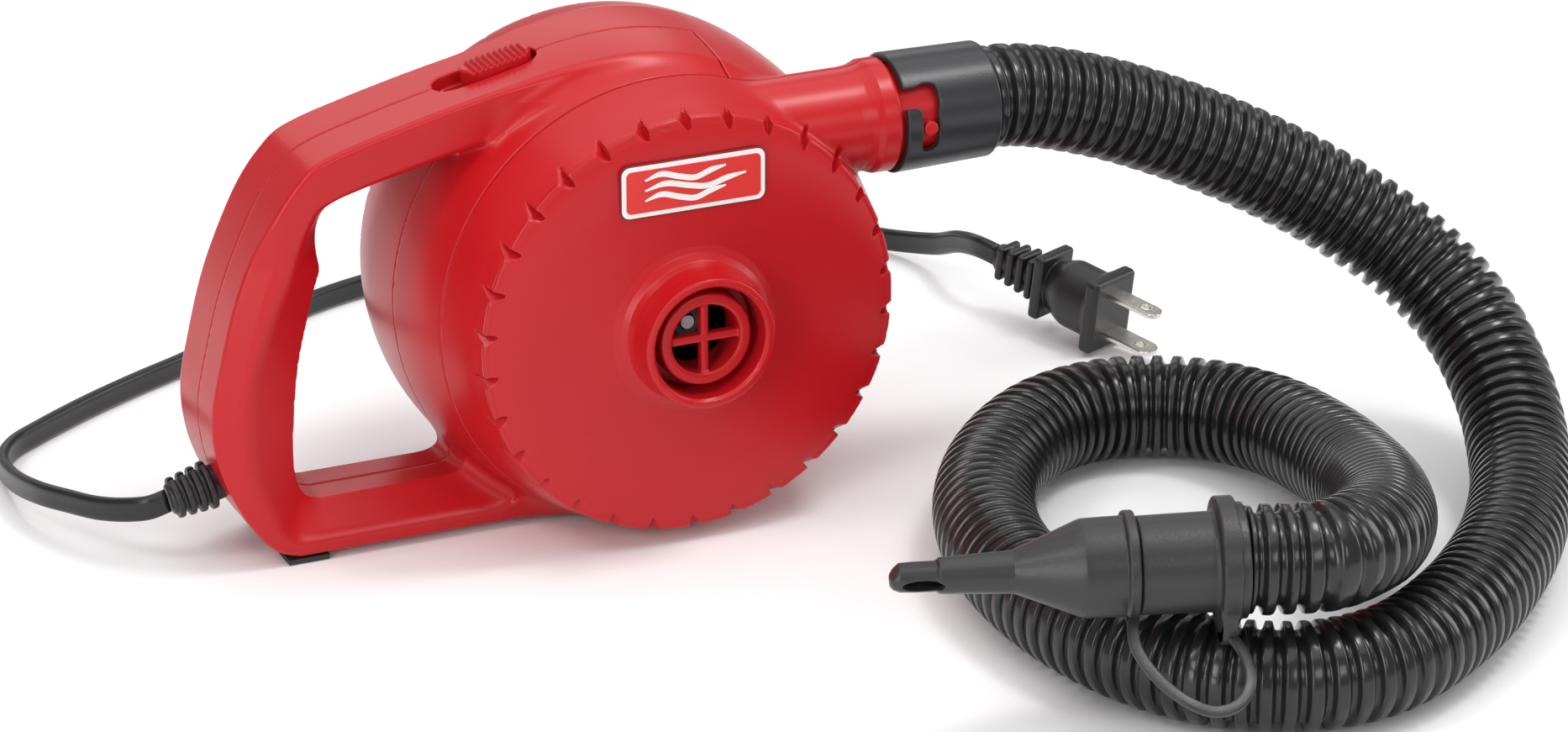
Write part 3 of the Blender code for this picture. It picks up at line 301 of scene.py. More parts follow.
def metal(name, colour, roughness, brushed=True):
    """A metal with fine drawn streaks."""
    made, tree, shader = nodes_of(name)
    shader.inputs["Metallic"].default_value = 1.0
    shader.inputs["Base Color"].default_value = (*colour, 1)
    place = tree.nodes.new("ShaderNodeTexCoord")
    stretch = tree.nodes.new("ShaderNodeMapping")
    stretch.inputs["Scale"].default_value = (60, 60, 1500) if brushed else (300, 300, 300)
    streak = tree.nodes.new("ShaderNodeTexNoise")
    streak.inputs["Scale"].default_value = 3.0
    tree.links.new(place.outputs["Object"], stretch.inputs["Vector"])
    tree.links.new(stretch.outputs["Vector"], streak.inputs["Vector"])
    gloss = tree.nodes.new("ShaderNodeMapRange")
    gloss.inputs["To Min"].default_value = roughness * 0.7
    gloss.inputs["To Max"].default_value = roughness * 1.4
    tree.links.new(streak.outputs["Fac"], gloss.inputs["Value"])
    tree.links.new(gloss.outputs["Result"], shader.inputs["Roughness"])
    return made


def dress(obj, material):
    obj.data.materials.clear()
    obj.data.materials.append(material)
    return obj


RED = plastic("red moulded plastic", (0.46, 0.007, 0.011), 0.29, grain=0.08, scale=1400, mottle=0.03,
              level=0.34)
CHARCOAL = plastic("charcoal plastic", (0.020, 0.020, 0.023), 0.30, grain=0.18, scale=1500, mottle=0.10)
HOSE = plastic("black hose plastic", (0.013, 0.013, 0.014), 0.21, grain=0.05, scale=700, mottle=0.12)
CORD = plastic("black cord rubber", (0.007, 0.007, 0.008), 0.30, grain=0.10, scale=900, mottle=0.15)
PLUG = plastic("black plug rubber", (0.011, 0.011, 0.012), 0.36, grain=0.22, scale=1200, mottle=0.10)
NOZZLE = plastic("dark grey nozzle plastic", (0.022, 0.022, 0.024), 0.36, grain=0.35, scale=1300, mottle=0.10)
RUBBER = plastic("black foot rubber", (0.02, 0.02, 0.02), 0.6, grain=0.3, scale=900)
DARK = plastic("black fan plastic", (0.022, 0.022, 0.024), 0.40, grain=0.15)
WHITE = plastic("white print", (0.80, 0.80, 0.78), 0.35, mottle=0.02)
PRINT = plastic("red print", (0.66, 0.030, 0.025), 0.30, mottle=0.02, coat=0.4)
OUTLINE = plastic("dark red print", (0.20, 0.008, 0.010), 0.35, mottle=0.02)
NICKEL = metal("nickel plate", (0.72, 0.69, 0.64), 0.26)
STEEL = metal("zinc plated steel", (0.55, 0.55, 0.56), 0.30)
COPPER = metal("enamelled copper", (0.75, 0.32, 0.16), 0.32, brushed=False)
BRONZE = metal("bronze", (0.55, 0.38, 0.18), 0.35, brushed=False)
CARBON = plastic("carbon", (0.015, 0.015, 0.016), 0.55, grain=0.3)
FERRITE = plastic("ferrite", (0.05, 0.047, 0.047), 0.5, grain=0.3)
NYLON = plastic("white nylon", (0.72, 0.71, 0.67), 0.42)
BOARD = plastic("green board", (0.03, 0.18, 0.07), 0.4)


# ---------------------------------------------------------------- red housing

SKIN = [(27, -49.35), (36, -49.15), (48, -48.7), (55.5, -47.9), (59.4, -47.1), (60.7, -46.6),
        (61.2, -46.3), (61.5, -45.8), (62.2, -43.6), (62.9, -41), (64.1, -37), (66.8, -26),
        (69.6, -14), (70.9, -5), (71.4, 3), (71.4, 15), (70.9, 23), (69.7, 30), (68.4, 35),
        (66.5, 39.3), (64.3, 42.3), (61.7, 44.7), (58.5, 46.5), (54.6, 47.6), (51.5, 48)]
PORT = [(0, -62), (18.4, -62), (19.05, -61.8), (19.35, -61.2), (19.5, -56), (19.9, -53.4), (20.9, -51.4),
        (22.6, -50.1), (24.6, -49.5)]
ROOM = [(0, -75), (17.5, -75), (17.5, -62.2), (17.2, -61.6), (16.6, -61.0), (16.6, -46.3), (54, -45.9),
        (57.5, -44.8), (59.4, -42.8), (60.4, -40), (64.2, -26), (67, -14), (68.7, 0), (68.7, 18), (67, 30),
        (64.4, 37), (61, 41), (43, 41), (43, 45.2), (50, 45.2), (50, 75), (0, 75)]
HANDLE = [(20, 62.0), (10, 66.6), (-3, 69.6), (-22, 69.5), (-40, 66.7), (-57.5, 63.2), (-78, 58.3),
          (-93, 54.1), (-99.5, 51.2), (-104, 47.0), (-108.5, 41.5), (-113, 34), (-121.5, 14.5),
          (-127, -5.5), (-129.8, -20.5), (-128.4, -35), (-123.8, -47.5), (-118.2, -56.8), (-113.2, -62.0),
          (-106.5, -65)]
RIM = [(-22, 54), (-36, 50.9), (-50, 48.2), (-62.7, 45.5), (-76, 42.4), (-86, 39.9), (-91.8, 37.9),
       (-94.8, 35.2), (-96.4, 31.6), (-96.9, 27), (-96.5, 22.5), (-95.9, 18.4), (-96.9, 15),
       (-98.2, 11), (-99.7, 5), (-103, -9), (-104.9, -26.3), (-105.3, -39), (-104.3, -45.5),
       (-102.3, -49), (-98.5, -50.5), (-94, -50.6)]
FACE = [(-22, 56.5), (-36, 53.6), (-50, 51.0), (-62.7, 48.5), (-76, 45.6), (-86, 43.2), (-93.5, 41.0),
        (-98, 38.6), (-101, 34), (-103.4, 29), (-105.6, 23), (-107.6, 18.4), (-109.4, 15),
        (-111.4, 11), (-114.2, 4.5), (-119.4, -10), (-120.9, -27), (-118.6, -41), (-115.6, -49.5),
        (-112.2, -56), (-107.5, -59.6), (-100, -59.9)]

skin = Outline(np.vstack([PORT, catmull(SKIN, 6), [(0, 48)]]))
room = Outline(ROOM)
handle_side = Outline(np.vstack([catmull(HANDLE, 6), [(20, -65.001), (30, -70), (30, 50)]]))
rim_hole = Outline(np.vstack([catmull(RIM, 5), [(-22, -50.6)]]))
face_hole = Outline(np.vstack([catmull(FACE, 5), [(-22, -59.9)]]))
TUBE = [(0, 14), (14.9, 14), (14.9, 55), (15.1, 57.5), (15.5, 59.2), (16.1, 60.6), (16.35, 61.2),
        (16.4, 65.6), (16.0, 66.2), (14.3, 66.4), (14.3, 87.3), (13.7, 88), (0, 88)]
tube = Outline(TUBE)


def handle(x, y, z):
    """The loop handle, whose opening widens from a narrow rim to the side faces."""
    side = np.abs(y)
    edge = handle_side(x, z)
    body = smax(edge, side - HANDLE_HALF, 1.9)
    fade = np.clip(np.minimum((44 - z) / 22, (z + 56) / 24), 0, 1)
    fade = fade * fade * (3 - 2 * fade) * ((y < 0) & (x < -84))
    body = smax(body, edge * 0.5 + (side - HANDLE_HALF) * 0.866 + 3.6 * fade, 0.8)
    share = np.clip((side - RIM_HALF) / RIM_TO_SIDE, 0, 1)
    hole = rim_hole(x, z) * (1 - share) + face_hole(x, z) * share
    return smax(body, -hole, 1.8)


def notches(x, y, z, radius, middle, way):
    """Thirty wedge nicks across a rounded rim; way is the side that the rim faces, -1 for the front."""
    r = np.hypot(x, z)
    angle = np.degrees(np.arctan2(x, z)) - NOTCH_START
    angle = (angle + NOTCH_PITCH / 2) % NOTCH_PITCH - NOTCH_PITCH / 2
    t = -np.radians(angle) * r
    out = ((r - radius) + way * (y - middle)) * HALF_ROOT
    run = ((r - radius) - way * (y - middle)) * HALF_ROOT
    wedge = smax(-(t + 1.1), -(out + 2.1 - 0.85 * (t + 1.1)) * 0.76, 0.3)
    return smax(wedge, np.abs(run) - 4.2, 1.2)


def switch_frame(x, z):
    sx, sz, slope = SWITCH
    c, s = math.cos(slope), math.sin(slope)
    return (x - sx) * c + (z - sz) * s, -(x - sx) * s + (z - sz) * c


def stadium(u, y, length, width):
    return np.hypot(np.maximum(np.abs(u) - (length - width) / 2, 0), y) - width / 2


def housing(x, y, z):
    """The whole red housing, outside and inside, before it is parted into its mouldings."""
    r = np.hypot(x, z)
    fillet = 3.5 + 6.0 * np.clip(np.maximum((z - 54) / 8, (-z - 30) / 12), 0, 1)
    solid = smin(skin(r, y), handle(x, y, z), fillet)
    solid = smin(solid, np.hypot(r - 60.9, y + 45.9) - 0.95, 0.4)
    pipe = np.hypot(y - OUTLET_Y, z - OUTLET_Z)
    solid = smin(solid, tube(pipe, x), 1.8)
    solid = smax(solid, BASE_Z - z, 1.6)
    inside = np.maximum(room(r, y), -62.4 - z)
    solid = np.maximum(solid, -inside)
    solid = np.maximum(solid, -np.maximum(pipe - OUTLET_BORE_R, 20.0 - x))
    solid = smax(solid, -notches(x, y, z, 61.7, -44.9, -1), 0.3)
    solid = smax(solid, -notches(x, y, z, 67.4, 38.2, 1), 0.3)
    return solid


def pocket(solid, x, y, z):
    """The switch's slot and the room under it, and the screw wells in the back of the handle."""
    u, w = switch_frame(x, z)
    slot = smax(stadium(u, y, SLOT_LENGTH, SLOT_WIDTH), -4.2 - w, 0.8)
    solid = smax(solid, -slot, 0.7)
    solid = np.maximum(solid, -block(u, y, w, (-8.5, -2.4, -10), (7.8, 2.4, 2)))
    solid = np.maximum(solid, -block(u, y, w, (-8.8, -3.5, -12), (8.0, 3.5, -6.4)))
    solid = np.maximum(solid, -block(u, y, w, (-11.8, -5.2, -19), (9.7, 5.2, -9.2)))
    for sx, sz in ((-115.2, -56.0), (-122.6, -6.0), (-80.0, -58.5)):
        solid = smax(solid, -np.maximum(np.hypot(x - sx, z - sz) - 2.9, 4.0 - y), 0.4)
    return solid


def front_cover(x, y, z):
    return smax(housing(x, y, z), y - COVER_BACK_Y, 0.5)


def front_housing(x, y, z):
    shape = pocket(housing(x, y, z), x, y, z)
    shape = smax(shape, y + SEAM, 0.5)
    shape = smax(shape, SHELL_FRONT_Y - y, 0.5)
    return smax(shape, x - 20.4, 0.4)


def rear_housing(x, y, z):
    shape = pocket(housing(x, y, z), x, y, z)
    shape = smax(shape, SHELL_FRONT_Y - y, 0.5)
    return smax(shape, smin(SEAM - y, 20.8 - x, 0.2), 0.5)


def grille(x, y, z):
    r = np.hypot(x, z)
    ring = smax(np.abs(r - 11.9) - 1.7, -58.2 - y, 1.0)
    ring = np.maximum(ring, y + 47.5)
    web = np.maximum(np.abs(r - 14.0) - 2.3, np.abs(y + 49.0) - 1.5)
    bars = np.minimum(np.abs(x), np.abs(z)) - 1.2
    bars = smax(bars, np.abs(y + 55.6) - 1.5, 0.8)
    bars = np.maximum(bars, r - 11.0)
    return smin(smin(ring, web, 0.8), bars, 0.8)


def rear_cover(x, y, z):
    r = np.hypot(x, z)
    disc = smax(r - 49.7, np.abs(y - 46.9) - 1.3, 1.0)
    angle = np.degrees(np.arctan2(x, z))
    for radius, count, length in ((16.0, 8, 9.0), (33.0, 16, 14.0)):
        pitch = 360.0 / count
        t = np.radians((angle % pitch) - pitch / 2) * r
        slot = np.hypot(t, np.maximum(np.abs(r - radius) - (length / 2 - 1.5), 0)) - 1.5
        disc = smax(disc, -slot, 0.5)
    for k in range(3):
        a = math.radians(30 + 120 * k)
        hole = np.hypot(x - 46.5 * math.sin(a), z - 46.5 * math.cos(a))
        disc = np.maximum(disc, -np.maximum(hole - 2.5, 46.7 - y))
        disc = np.maximum(disc, -(hole - 1.4))
    return disc


def button(x, y, z):
    u, w = switch_frame(x, z)
    u = u - BUTTON_SHIFT
    groove = 0.42 * (1 - np.cos(u * (2 * np.pi / 1.75)))
    ridges = w - 2.9 + np.where(np.abs(u) < 8.8, groove, 0.0)
    top = smax(stadium(u, y, BUTTON_LENGTH, BUTTON_WIDTH), ridges, 0.9)
    top = np.maximum(top, -3.9 - w)
    stem = block(u, y, w, (-2, -1.8, -6.8), (2, 1.8, 0))
    return np.minimum(top, stem)


def connector(x, y, z):
    """The bayonet sleeve with its two J slots."""
    pipe = np.hypot(y - OUTLET_Y, z - OUTLET_Z)
    outer = 17.3 - (x - SLEEVE_X) * 0.022
    wall = smax(pipe - outer, SLEEVE_X - x, 0.7)
    wall = smax(wall, x - SLEEVE_END_X, 0.9)
    wall = smax(wall, SLEEVE_BORE_R - pipe, 0.3)
    up = np.degrees(np.arctan2(z - OUTLET_Z, -(y - OUTLET_Y)))
    up = (up + 90.0) % 180.0 - 90.0
    arc = np.radians(1.0) * 16.2
    mouth = smax(np.abs(up - 31.8) * arc - 10.3 * arc, x - 77.1, 1.6)
    level = np.hypot(np.maximum(np.abs(up - 8.7) - 26.0, 0) * arc, x - PIN_X) - 2.5
    return smax(wall, -smin(mouth, level, 2.2), 0.35)


def pins(x, y, z):
    """The two bayonet pins, one on each side of the outlet."""
    shank = np.hypot(x - PIN_X, z - OUTLET_Z) - PIN_R
    return smax(shank, np.abs(np.abs(y - OUTLET_Y) - 15.2) - 2.0, 0.6)


def add_housing():
    shell_low = (-132, -27.5, -67)
    pieces = {
        "front_cover": moulded("front_cover_skin", front_cover, (-70, -64, -67), (92, -25, 70), 0.72),
        "front_housing": moulded("front_housing_skin", front_housing, shell_low, (22, 1.5, 75), 0.72),
        "rear_housing": moulded("rear_housing_skin", rear_housing, shell_low, (92, 50, 75), 0.8),
        "inlet_grille": moulded("grille_skin", grille, (-18, -60, -18), (18, -45, 18), 0.4),
        "rear_cover": moulded("rear_cover_skin", rear_cover, (-52, 44, -52), (52, 49, 52), 0.6),
    }
    for node, obj in pieces.items():
        dress(obj, RED)
        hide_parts(node)
        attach(obj, "housing")
    obj = dress(moulded("button_skin", button, (-54, -6, 54), (-24, 6, 78), 0.3), RED)
    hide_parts("switch_button")
    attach(obj, "switch")
    obj = moulded("connector_skin", connector, (66, OUTLET_Y - 19, OUTLET_Z - 19),
                  (99, OUTLET_Y + 19, OUTLET_Z + 19), 0.45)
    dress(obj, CHARCOAL)
    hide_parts("hose_connector")
    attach(obj, "connector")
    for name, side, low, high in (("pin_front", 1, -19, -11), ("pin_back", -1, 11, 19)):
        obj = moulded(name, lambda x, y, z: np.maximum(pins(x, y, z), side * (y - OUTLET_Y)),
                      (71, OUTLET_Y + low, OUTLET_Z - 3.5), (78, OUTLET_Y + high, OUTLET_Z + 3.5), 0.3)
        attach(dress(obj, RED), "housing")


# ---------------------------------------------------------------- badge

def flat_piece(name, outline, y_low, y_high, material):
    """A flat outline of (x, z) points in the fan frame, between two depths, in mm."""
    curve = bpy.data.curves.new(name, "CURVE")
    curve.dimensions = "2D"
    curve.fill_mode = "BOTH"
    curve.extrude = abs(y_high - y_low) / 2000
    curve.bevel_depth = 0.00008
    curve.bevel_resolution = 1
    for ring in outline:
        spline = curve.splines.new("POLY")
        spline.points.add(len(ring) - 1)
        for point, (x, z) in zip(spline.points, ring):
            point.co = (x / 1000, z / 1000, 0, 1)
        spline.use_cyclic_u = True
    holder = bpy.data.objects.new(name + "_curve", curve)
    bpy.context.scene.collection.objects.link(holder)
    bpy.context.view_layer.update()
    mesh = bpy.data.meshes.new_from_object(holder.evaluated_get(bpy.context.evaluated_depsgraph_get()))
    bpy.data.objects.remove(holder, do_unlink=True)
    mesh.transform(Matrix.Rotation(math.radians(90), 4, "X"))
    mesh.transform(Matrix.Translation(Vector((FAN + (0, (y_low + y_high) / 2, 0)) / 1000)))
    obj = bpy.data.objects.new(name, mesh)
    bpy.context.scene.collection.objects.link(obj)
    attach(dress(obj, material), "housing")
    return obj


def rounded(width, height, corner, centre):
    ring = []
    for sx, sz, start in ((1, 1, 0), (-1, 1, 90), (-1, -1, 180), (1, -1, 270)):
        for k in range(7):
            a = math.radians(start + 15 * k)
            ring.append((centre[0] + sx * (width / 2 - corner) + corner * math.cos(a),
                         centre[1] + sz * (height / 2 - corner) + corner * math.sin(a)))
    return ring


def ribbon(points, width):
    p = catmull(points, 6)
    d = np.gradient(p, axis=0)
    n = np.stack([-d[:, 1], d[:, 0]], 1) / np.linalg.norm(d, axis=1)[:, None]
    taper = width / 2 * np.clip(np.sin(np.linspace(0.12, np.pi - 0.12, len(p))) * 1.6, 0.25, 1)[:, None]
    return [tuple(q) for q in np.vstack([p + n * taper, (p - n * taper)[::-1]])]


def add_badge():
    """A plain label: a border, a panel and three lines of moving air."""
    at = (0.0, 43.4)
    plate = flat_piece("badge_edge", [rounded(43.5, 15.7, 2.6, at)], -49.45, -48.6, OUTLINE)
    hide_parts("badge")
    flat_piece("badge_border", [rounded(42.7, 14.9, 2.3, at)], -49.60, -48.7, WHITE)
    flat_piece("badge_panel", [rounded(40.1, 12.3, 1.5, at)], -49.75, -48.8, PRINT)
    for k, (shift, length) in enumerate(((3.2, 24), (0.2, 30), (-2.8, 24))):
        z = at[1] + shift
        x = -14.5
        wave = [(x, z), (x + length * 0.2, z + 1.3), (x + length * 0.42, z - 0.2),
                (x + length * 0.62, z - 1.2), (x + length * 0.82, z + 0.3), (x + length, z + 1.1)]
        flat_piece(f"badge_wave_{k + 1}", [ribbon(wave, 1.5)], -49.90, -48.9, WHITE)


# ---------------------------------------------------------------- hose and nozzle

HOSE_ROUTE = [(107.5, -21.0, 113.1), (124.0, -21.0, 112.5), (149.0, -22.5, 106.0),
              (175.0, -25.5, 95.5), (200.0, -31.5, 83.0), (222.5, -41.0, 69.0),
              (240.0, -54.0, 54.5), (249.0, -71.0, 40.5), (249.0, -92.0, 27.0),
              (240.0, -118.0, 16.5), (226.0, -142.0, 15.2), (205.0, -169.0, 15.2),
              (176.0, -195.5, 15.2), (145.0, -213.0, 15.2), (122.0, -214.0, 15.2),
              (101.0, -203.0, 15.2), (86.0, -181.0, 15.2), (77.5, -146.0, 15.2),
              (79.0, -110.0, 15.2), (89.5, -79.0, 15.2), (108.0, -53.0, 15.2),
              (130.0, -37.0, 15.2), (153.0, -34.0, 15.2), (174.0, -44.0, 15.4),
              (187.0, -65.0, 16.5), (189.0, -95.0, 19.5), (183.0, -129.0, 25.0),
              (172.0, -158.0, 32.5), (159.0, -182.0, 39.0), (144.0, -200.0, 44.8),
              (127.0, -209.5, 47.4), (115.0, -207.2, 47.7), (105.8, -204.1, 47.8)]
NOZZLE_TIP = np.array([16.5, -174.5, 46.5])
CUFF_END = np.array([105.5, -204.0, 47.8])


def evenly(route, pitch):
    """Points and travel along a smooth route, pitch apart."""
    fine = catmull(route, 24)
    travel = np.r_[0, np.cumsum(np.linalg.norm(np.diff(fine, axis=0), axis=1))]
    count = max(2, round(travel[-1] / pitch)) + 1
    at = np.linspace(0, travel[-1], count)
    return np.stack([np.interp(at, travel, fine[:, k]) for k in range(3)], 1), at


def frames(points, start=None):
    """A pair of normals carried along the points without twisting."""
    tangents = np.gradient(points, axis=0)
    tangents /= np.linalg.norm(tangents, axis=1)[:, None]
    normal = np.array(start if start is not None else (0, 0, 1.0))
    sides = []
    for t in tangents:
        normal = normal - t * (normal @ t)
        normal = normal / np.linalg.norm(normal)
        sides.append(normal)
    sides = np.array(sides)
    return sides, np.cross(tangents, sides)


def swept(name, centres, a, b, rings):
    """A capped tube: rings[i, j] are offsets along a and b at each centre."""
    count, sides = rings.shape[:2]
    verts = centres[:, None] + rings[:, :, :1] * a[:, None] + rings[:, :, 1:] * b[:, None]
    verts = verts.reshape(-1, 3)
    i = np.arange(count - 1)[:, None] * sides
    j = np.arange(sides)[None]
    k = (j + 1) % sides
    quads = np.stack([i + j, i + k, i + sides + k, i + sides + j], 2).reshape(-1, 4)
    fans = []
    for row, turn in ((0, -1), (count - 1, 1)):
        hub = len(verts)
        verts = np.vstack([verts, centres[row][None]])
        loop = row * sides + np.arange(sides)
        pair = np.stack([loop, np.roll(loop, -1)], 1)[:, ::turn]
        fans.append(np.column_stack([pair, np.full(sides, hub)]))
    mesh = bpy.data.meshes.new(name)
    mesh.from_pydata((verts / 1000).tolist(), [], quads.tolist() + np.vstack(fans).tolist())
    mesh.shade_smooth()
    obj = bpy.data.objects.new(name, mesh)
    bpy.context.scene.collection.objects.link(obj)
    return obj


def add_hose():
    """The corrugated hose: rounded ribs with narrow grooves between them."""
    pitch, per = 5.3, 14
    points, at = evenly(HOSE_ROUTE, pitch / per)
    a, b = frames(points)
    across = np.abs(2 * ((at / pitch) % 1.0) - 1)
    fall = np.clip((across - 0.40) / 0.36, 0, 1)
    radius = 12.3 + 2.15 * (1 - fall * fall * (3 - 2 * fall)) + 0.35 * (1 - across ** 2)
    length = at[-1]
    radius = np.where((at < 6.0) | (at > length - 1.5), 14.3, radius)
    angle = np.linspace(0, 2 * np.pi, 49)[:-1]
    ring = np.stack([np.cos(angle), np.sin(angle)], 1)
    rings = radius[:, None, None] * ring[None]
    parting = np.minimum(np.abs(np.cos(angle)) * 40, 1)
    rings *= (1 + 0.010 * (1 - parting))[None, :, None]
    obj = swept("air_hose_skin", points, a, b, rings)
    dress(obj, HOSE)
    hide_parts("air_hose")
    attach(obj, "housing")
    return obj, points, length


def own_frame(start, end):
    """The turn and place whose own Y runs from start to end, with Z as near up as can be."""
    y = (end - start) / np.linalg.norm(end - start)
    z = np.array([0, 0, 1.0]) - y * y[2]
    z /= np.linalg.norm(z)
    x = np.cross(y, z)
    return np.stack([x, y, z], 1), start


NOZZLE_OUT = [(0, -0.3), (2.2, -0.3), (3.2, 0.5), (3.9, 2.2), (4.1, 6), (4.15, 12.0), (4.75, 12.5),
              (4.9, 13.5), (5.75, 32.2), (6.1, 33.2), (12.7, 49.2), (13.1, 50.4), (13.2, 52),
              (13.4, 61.3), (14.3, 61.5), (14.75, 62.0), (14.75, 64.0), (14.3, 64.5), (11.2, 64.6),
              (11.2, 80.4), (0, 80.4)]
NOZZLE_IN = [(0, 3.4), (2.0, 3.4), (2.6, 12), (3.9, 33), (9.8, 52), (9.8, 90), (0, 90)]
nozzle_out = Outline(NOZZLE_OUT)
nozzle_in = Outline(NOZZLE_IN)
CUFF_OUT = [(0, 64.9), (12.6, 64.9), (13.05, 65.3), (13.1, 66), (13.4, 84.6), (14.0, 85.6), (16.9, 85.9),
            (17.3, 86.4), (17.3, 90.6), (16.9, 91.0), (15.6, 91.2), (15.4, 93.4), (0, 93.4)]
cuff_out = Outline(CUFF_OUT)


def nozzle(x, y, z):
    r = np.hypot(x, z)
    shape = np.maximum(nozzle_out(r, y), -nozzle_in(r, y))
    window = np.sqrt(((y - 8.3) / 5.6) ** 2 + ((z + 1.3) / 1.8) ** 2 + ((x - 4.4) / 5.0) ** 2) - 1
    shape = smax(shape, -window * 1.8, 0.4)
    shape = smax(shape, np.minimum(z - 3.4, 12.6 - y), 0.3)
    return smax(shape, (z * 0.75 - y - 0.4) * 0.8, 0.6)


def cuff(x, y, z):
    r = np.hypot(x, z)
    shape = cuff_out(r, y)
    lobe = np.hypot(x - 7.5, z + 12.5) - 7.6
    lobe = smax(lobe, np.abs(y - 88.0) - 2.0, 0.8)
    shape = smin(shape, lobe, 1.5)
    return np.maximum(shape, -np.maximum(r - np.where(y < 85, 11.6, 9.8), -1.0))


def add_nozzle():
    place = own_frame(NOZZLE_TIP, CUFF_END)
    tip = moulded("nozzle_skin", nozzle, (-17, -2, -17), (17, 83, 17), 0.5, place)
    dress(tip, NOZZLE)
    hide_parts("nozzle")
    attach(tip, "nozzle")
    end = moulded("cuff_skin", cuff, (-21, 63, -23), (21, 96, 20), 0.5, place)
    dress(end, NOZZLE)
    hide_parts("hose_cuff")
    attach(end, "housing")
    turn, start = place
    first = start + turn @ np.array([9.2, 62.6, -10.6])
    last = start + turn @ np.array([11.0, 87.6, -15.0])
    route = [first, (69.9, -212.5, 32.5), (71.4, -222.0, 27.8), (76.0, -230.3, 23.9), (82.3, -234.0, 21.5),
             (89.1, -234.0, 22.3), (94.3, -230.0, 25.4), (96.9, -222.0, 29.2), last]
    points = evenly(route, 1.2)[0]
    a, b = frames(points, tuple(turn[:, 1]))
    angle = np.linspace(0, 2 * np.pi, 25)[:-1]
    ring = np.stack([np.sign(np.cos(angle)) * np.abs(np.cos(angle)) ** 0.5 * 1.6,
                     np.sign(np.sin(angle)) * np.abs(np.sin(angle)) ** 0.5 * 0.85], 1)
    strap = swept("strap_skin", points, a, b, np.repeat(ring[None], len(points), 0))
    dress(strap, NOZZLE)
    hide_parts("tether_strap")
    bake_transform(strap)
    return tip, end, strap


# ---------------------------------------------------------------- cord and plug

CORD_ROUTE = [(-123.4, 7.0, 18.6), (-128.5, 7.1, 17.4), (-133.5, 11.0, 16.0),
              (-139.5, 19.5, 14.0), (-145.0, 31.0, 12.4), (-149.5, 44.0, 10.3), (-151.2, 65.0, 6.2),
              (-149.0, 83.0, 3.9), (-143.0, 92.5, 3.8), (-134.0, 99.5, 3.8),
              (-114.0, 112.5, 3.8), (-95.0, 123.0, 3.8), (-78.0, 131.5, 3.8),
              (-53.0, 146.5, 3.8), (-25.0, 162.0, 3.8), (5.0, 171.0, 3.8),
              (40.0, 176.0, 3.8), (75.0, 174.5, 3.8), (105.0, 167.5, 3.8),
              (130.0, 157.0, 3.8), (148.0, 146.0, 4.0), (159.0, 131.0, 5.5),
              (164.0, 114.0, 10.0), (164.6, 98.5, 16.4), (165.4, 85.0, 19.5),
              (168.4, 78.0, 18.7)]
PLUG_FACE = np.array([187.0, 36.0, 12.6])
PLUG_AXIS = np.array([0.400, -0.905, -0.130]) / np.linalg.norm([0.400, -0.905, -0.130])


def add_cord():
    """A flat twin cord on its edge, with the groove between its two cores."""
    points, at = evenly(CORD_ROUTE, 1.6)
    tangents = np.gradient(points, axis=0)
    tangents /= np.linalg.norm(tangents, axis=1)[:, None]
    up = np.array([0, 0, 1.0]) - tangents * tangents[:, 2:]
    up /= np.linalg.norm(up, axis=1)[:, None]
    side = np.cross(tangents, up)
    angle = np.linspace(0, 2 * np.pi, 33)[:-1]
    c, s = np.cos(angle), np.sin(angle)
    half = 1.72
    ring = np.stack([np.sign(c) * half * np.minimum(np.abs(c) * 3.2, 1) + c * 1.85,
                     s * 1.85 * (1 - 0.22 * np.exp(-(c / 0.16) ** 2))], 1)
    obj = swept("power_cord_skin", points, up, side, np.repeat(ring[None], len(points), 0))
    dress(obj, CORD)
    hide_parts("power_cord")
    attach(obj, "housing")
    return obj, points, at[-1]


def relief(x, y, z):
    """The ribbed strain relief: collars split into blocks, on a tapering core."""
    r = np.hypot(x, z)
    core = smax(r - (5.2 - np.clip(y - 8, 0, 30) * 0.055), np.maximum(-y, y - 21.4), 0.8)
    for k in range(4):
        middle = 9.8 + 3.2 * k
        rib = smax(r - (7.1 - 0.35 * k), np.abs(y - middle) - 1.0, 0.8)
        gap = smax(np.abs(x) - 0.7, 4.9 - r, 0.2)
        core = smin(core, np.maximum(rib, -gap), 0.35)
    return core


def plug(x, y, z):
    """The moulded plug: plate, swelling body, collar and ribbed neck."""
    plate = block(x, y, z, (-9.5, -5.0, -12.0), (9.5, 0.0, 12.0), 1.7)
    swell = np.clip((y + 24.5) / 9.5, 0, 1)
    swell = swell * swell * (3 - 2 * swell)
    wide, tall = 6.0 + 2.7 * swell, 7.6 + 3.4 * swell
    body = (np.sqrt((x / wide) ** 2 + (z / tall) ** 2 + 1e-9) - 1) * wide * 0.9
    body = smax(body, np.maximum(-25.0 - y, y + 3.0), 0.8)
    collar = block(x, y, z, (-7.6, -27.0, -10.4), (7.6, -23.0, 10.4), 1.3)
    shape = smin(smin(plate, body, 1.2), collar, 0.8)
    core = smax(np.hypot(x / 0.8, z) * 0.9 - 4.1, np.maximum(-45.6 - y, y + 22), 0.6)
    for k in range(4):
        middle = -30.0 - 4.2 * k
        rib = block(x, y, z, (-5.4 + 0.25 * k, middle - 1.3, -6.6 + 0.35 * k),
                    (5.4 - 0.25 * k, middle + 1.3, 6.6 - 0.35 * k), 1.2)
        core = smin(core, rib, 0.5)
    return smin(shape, core, 0.8)


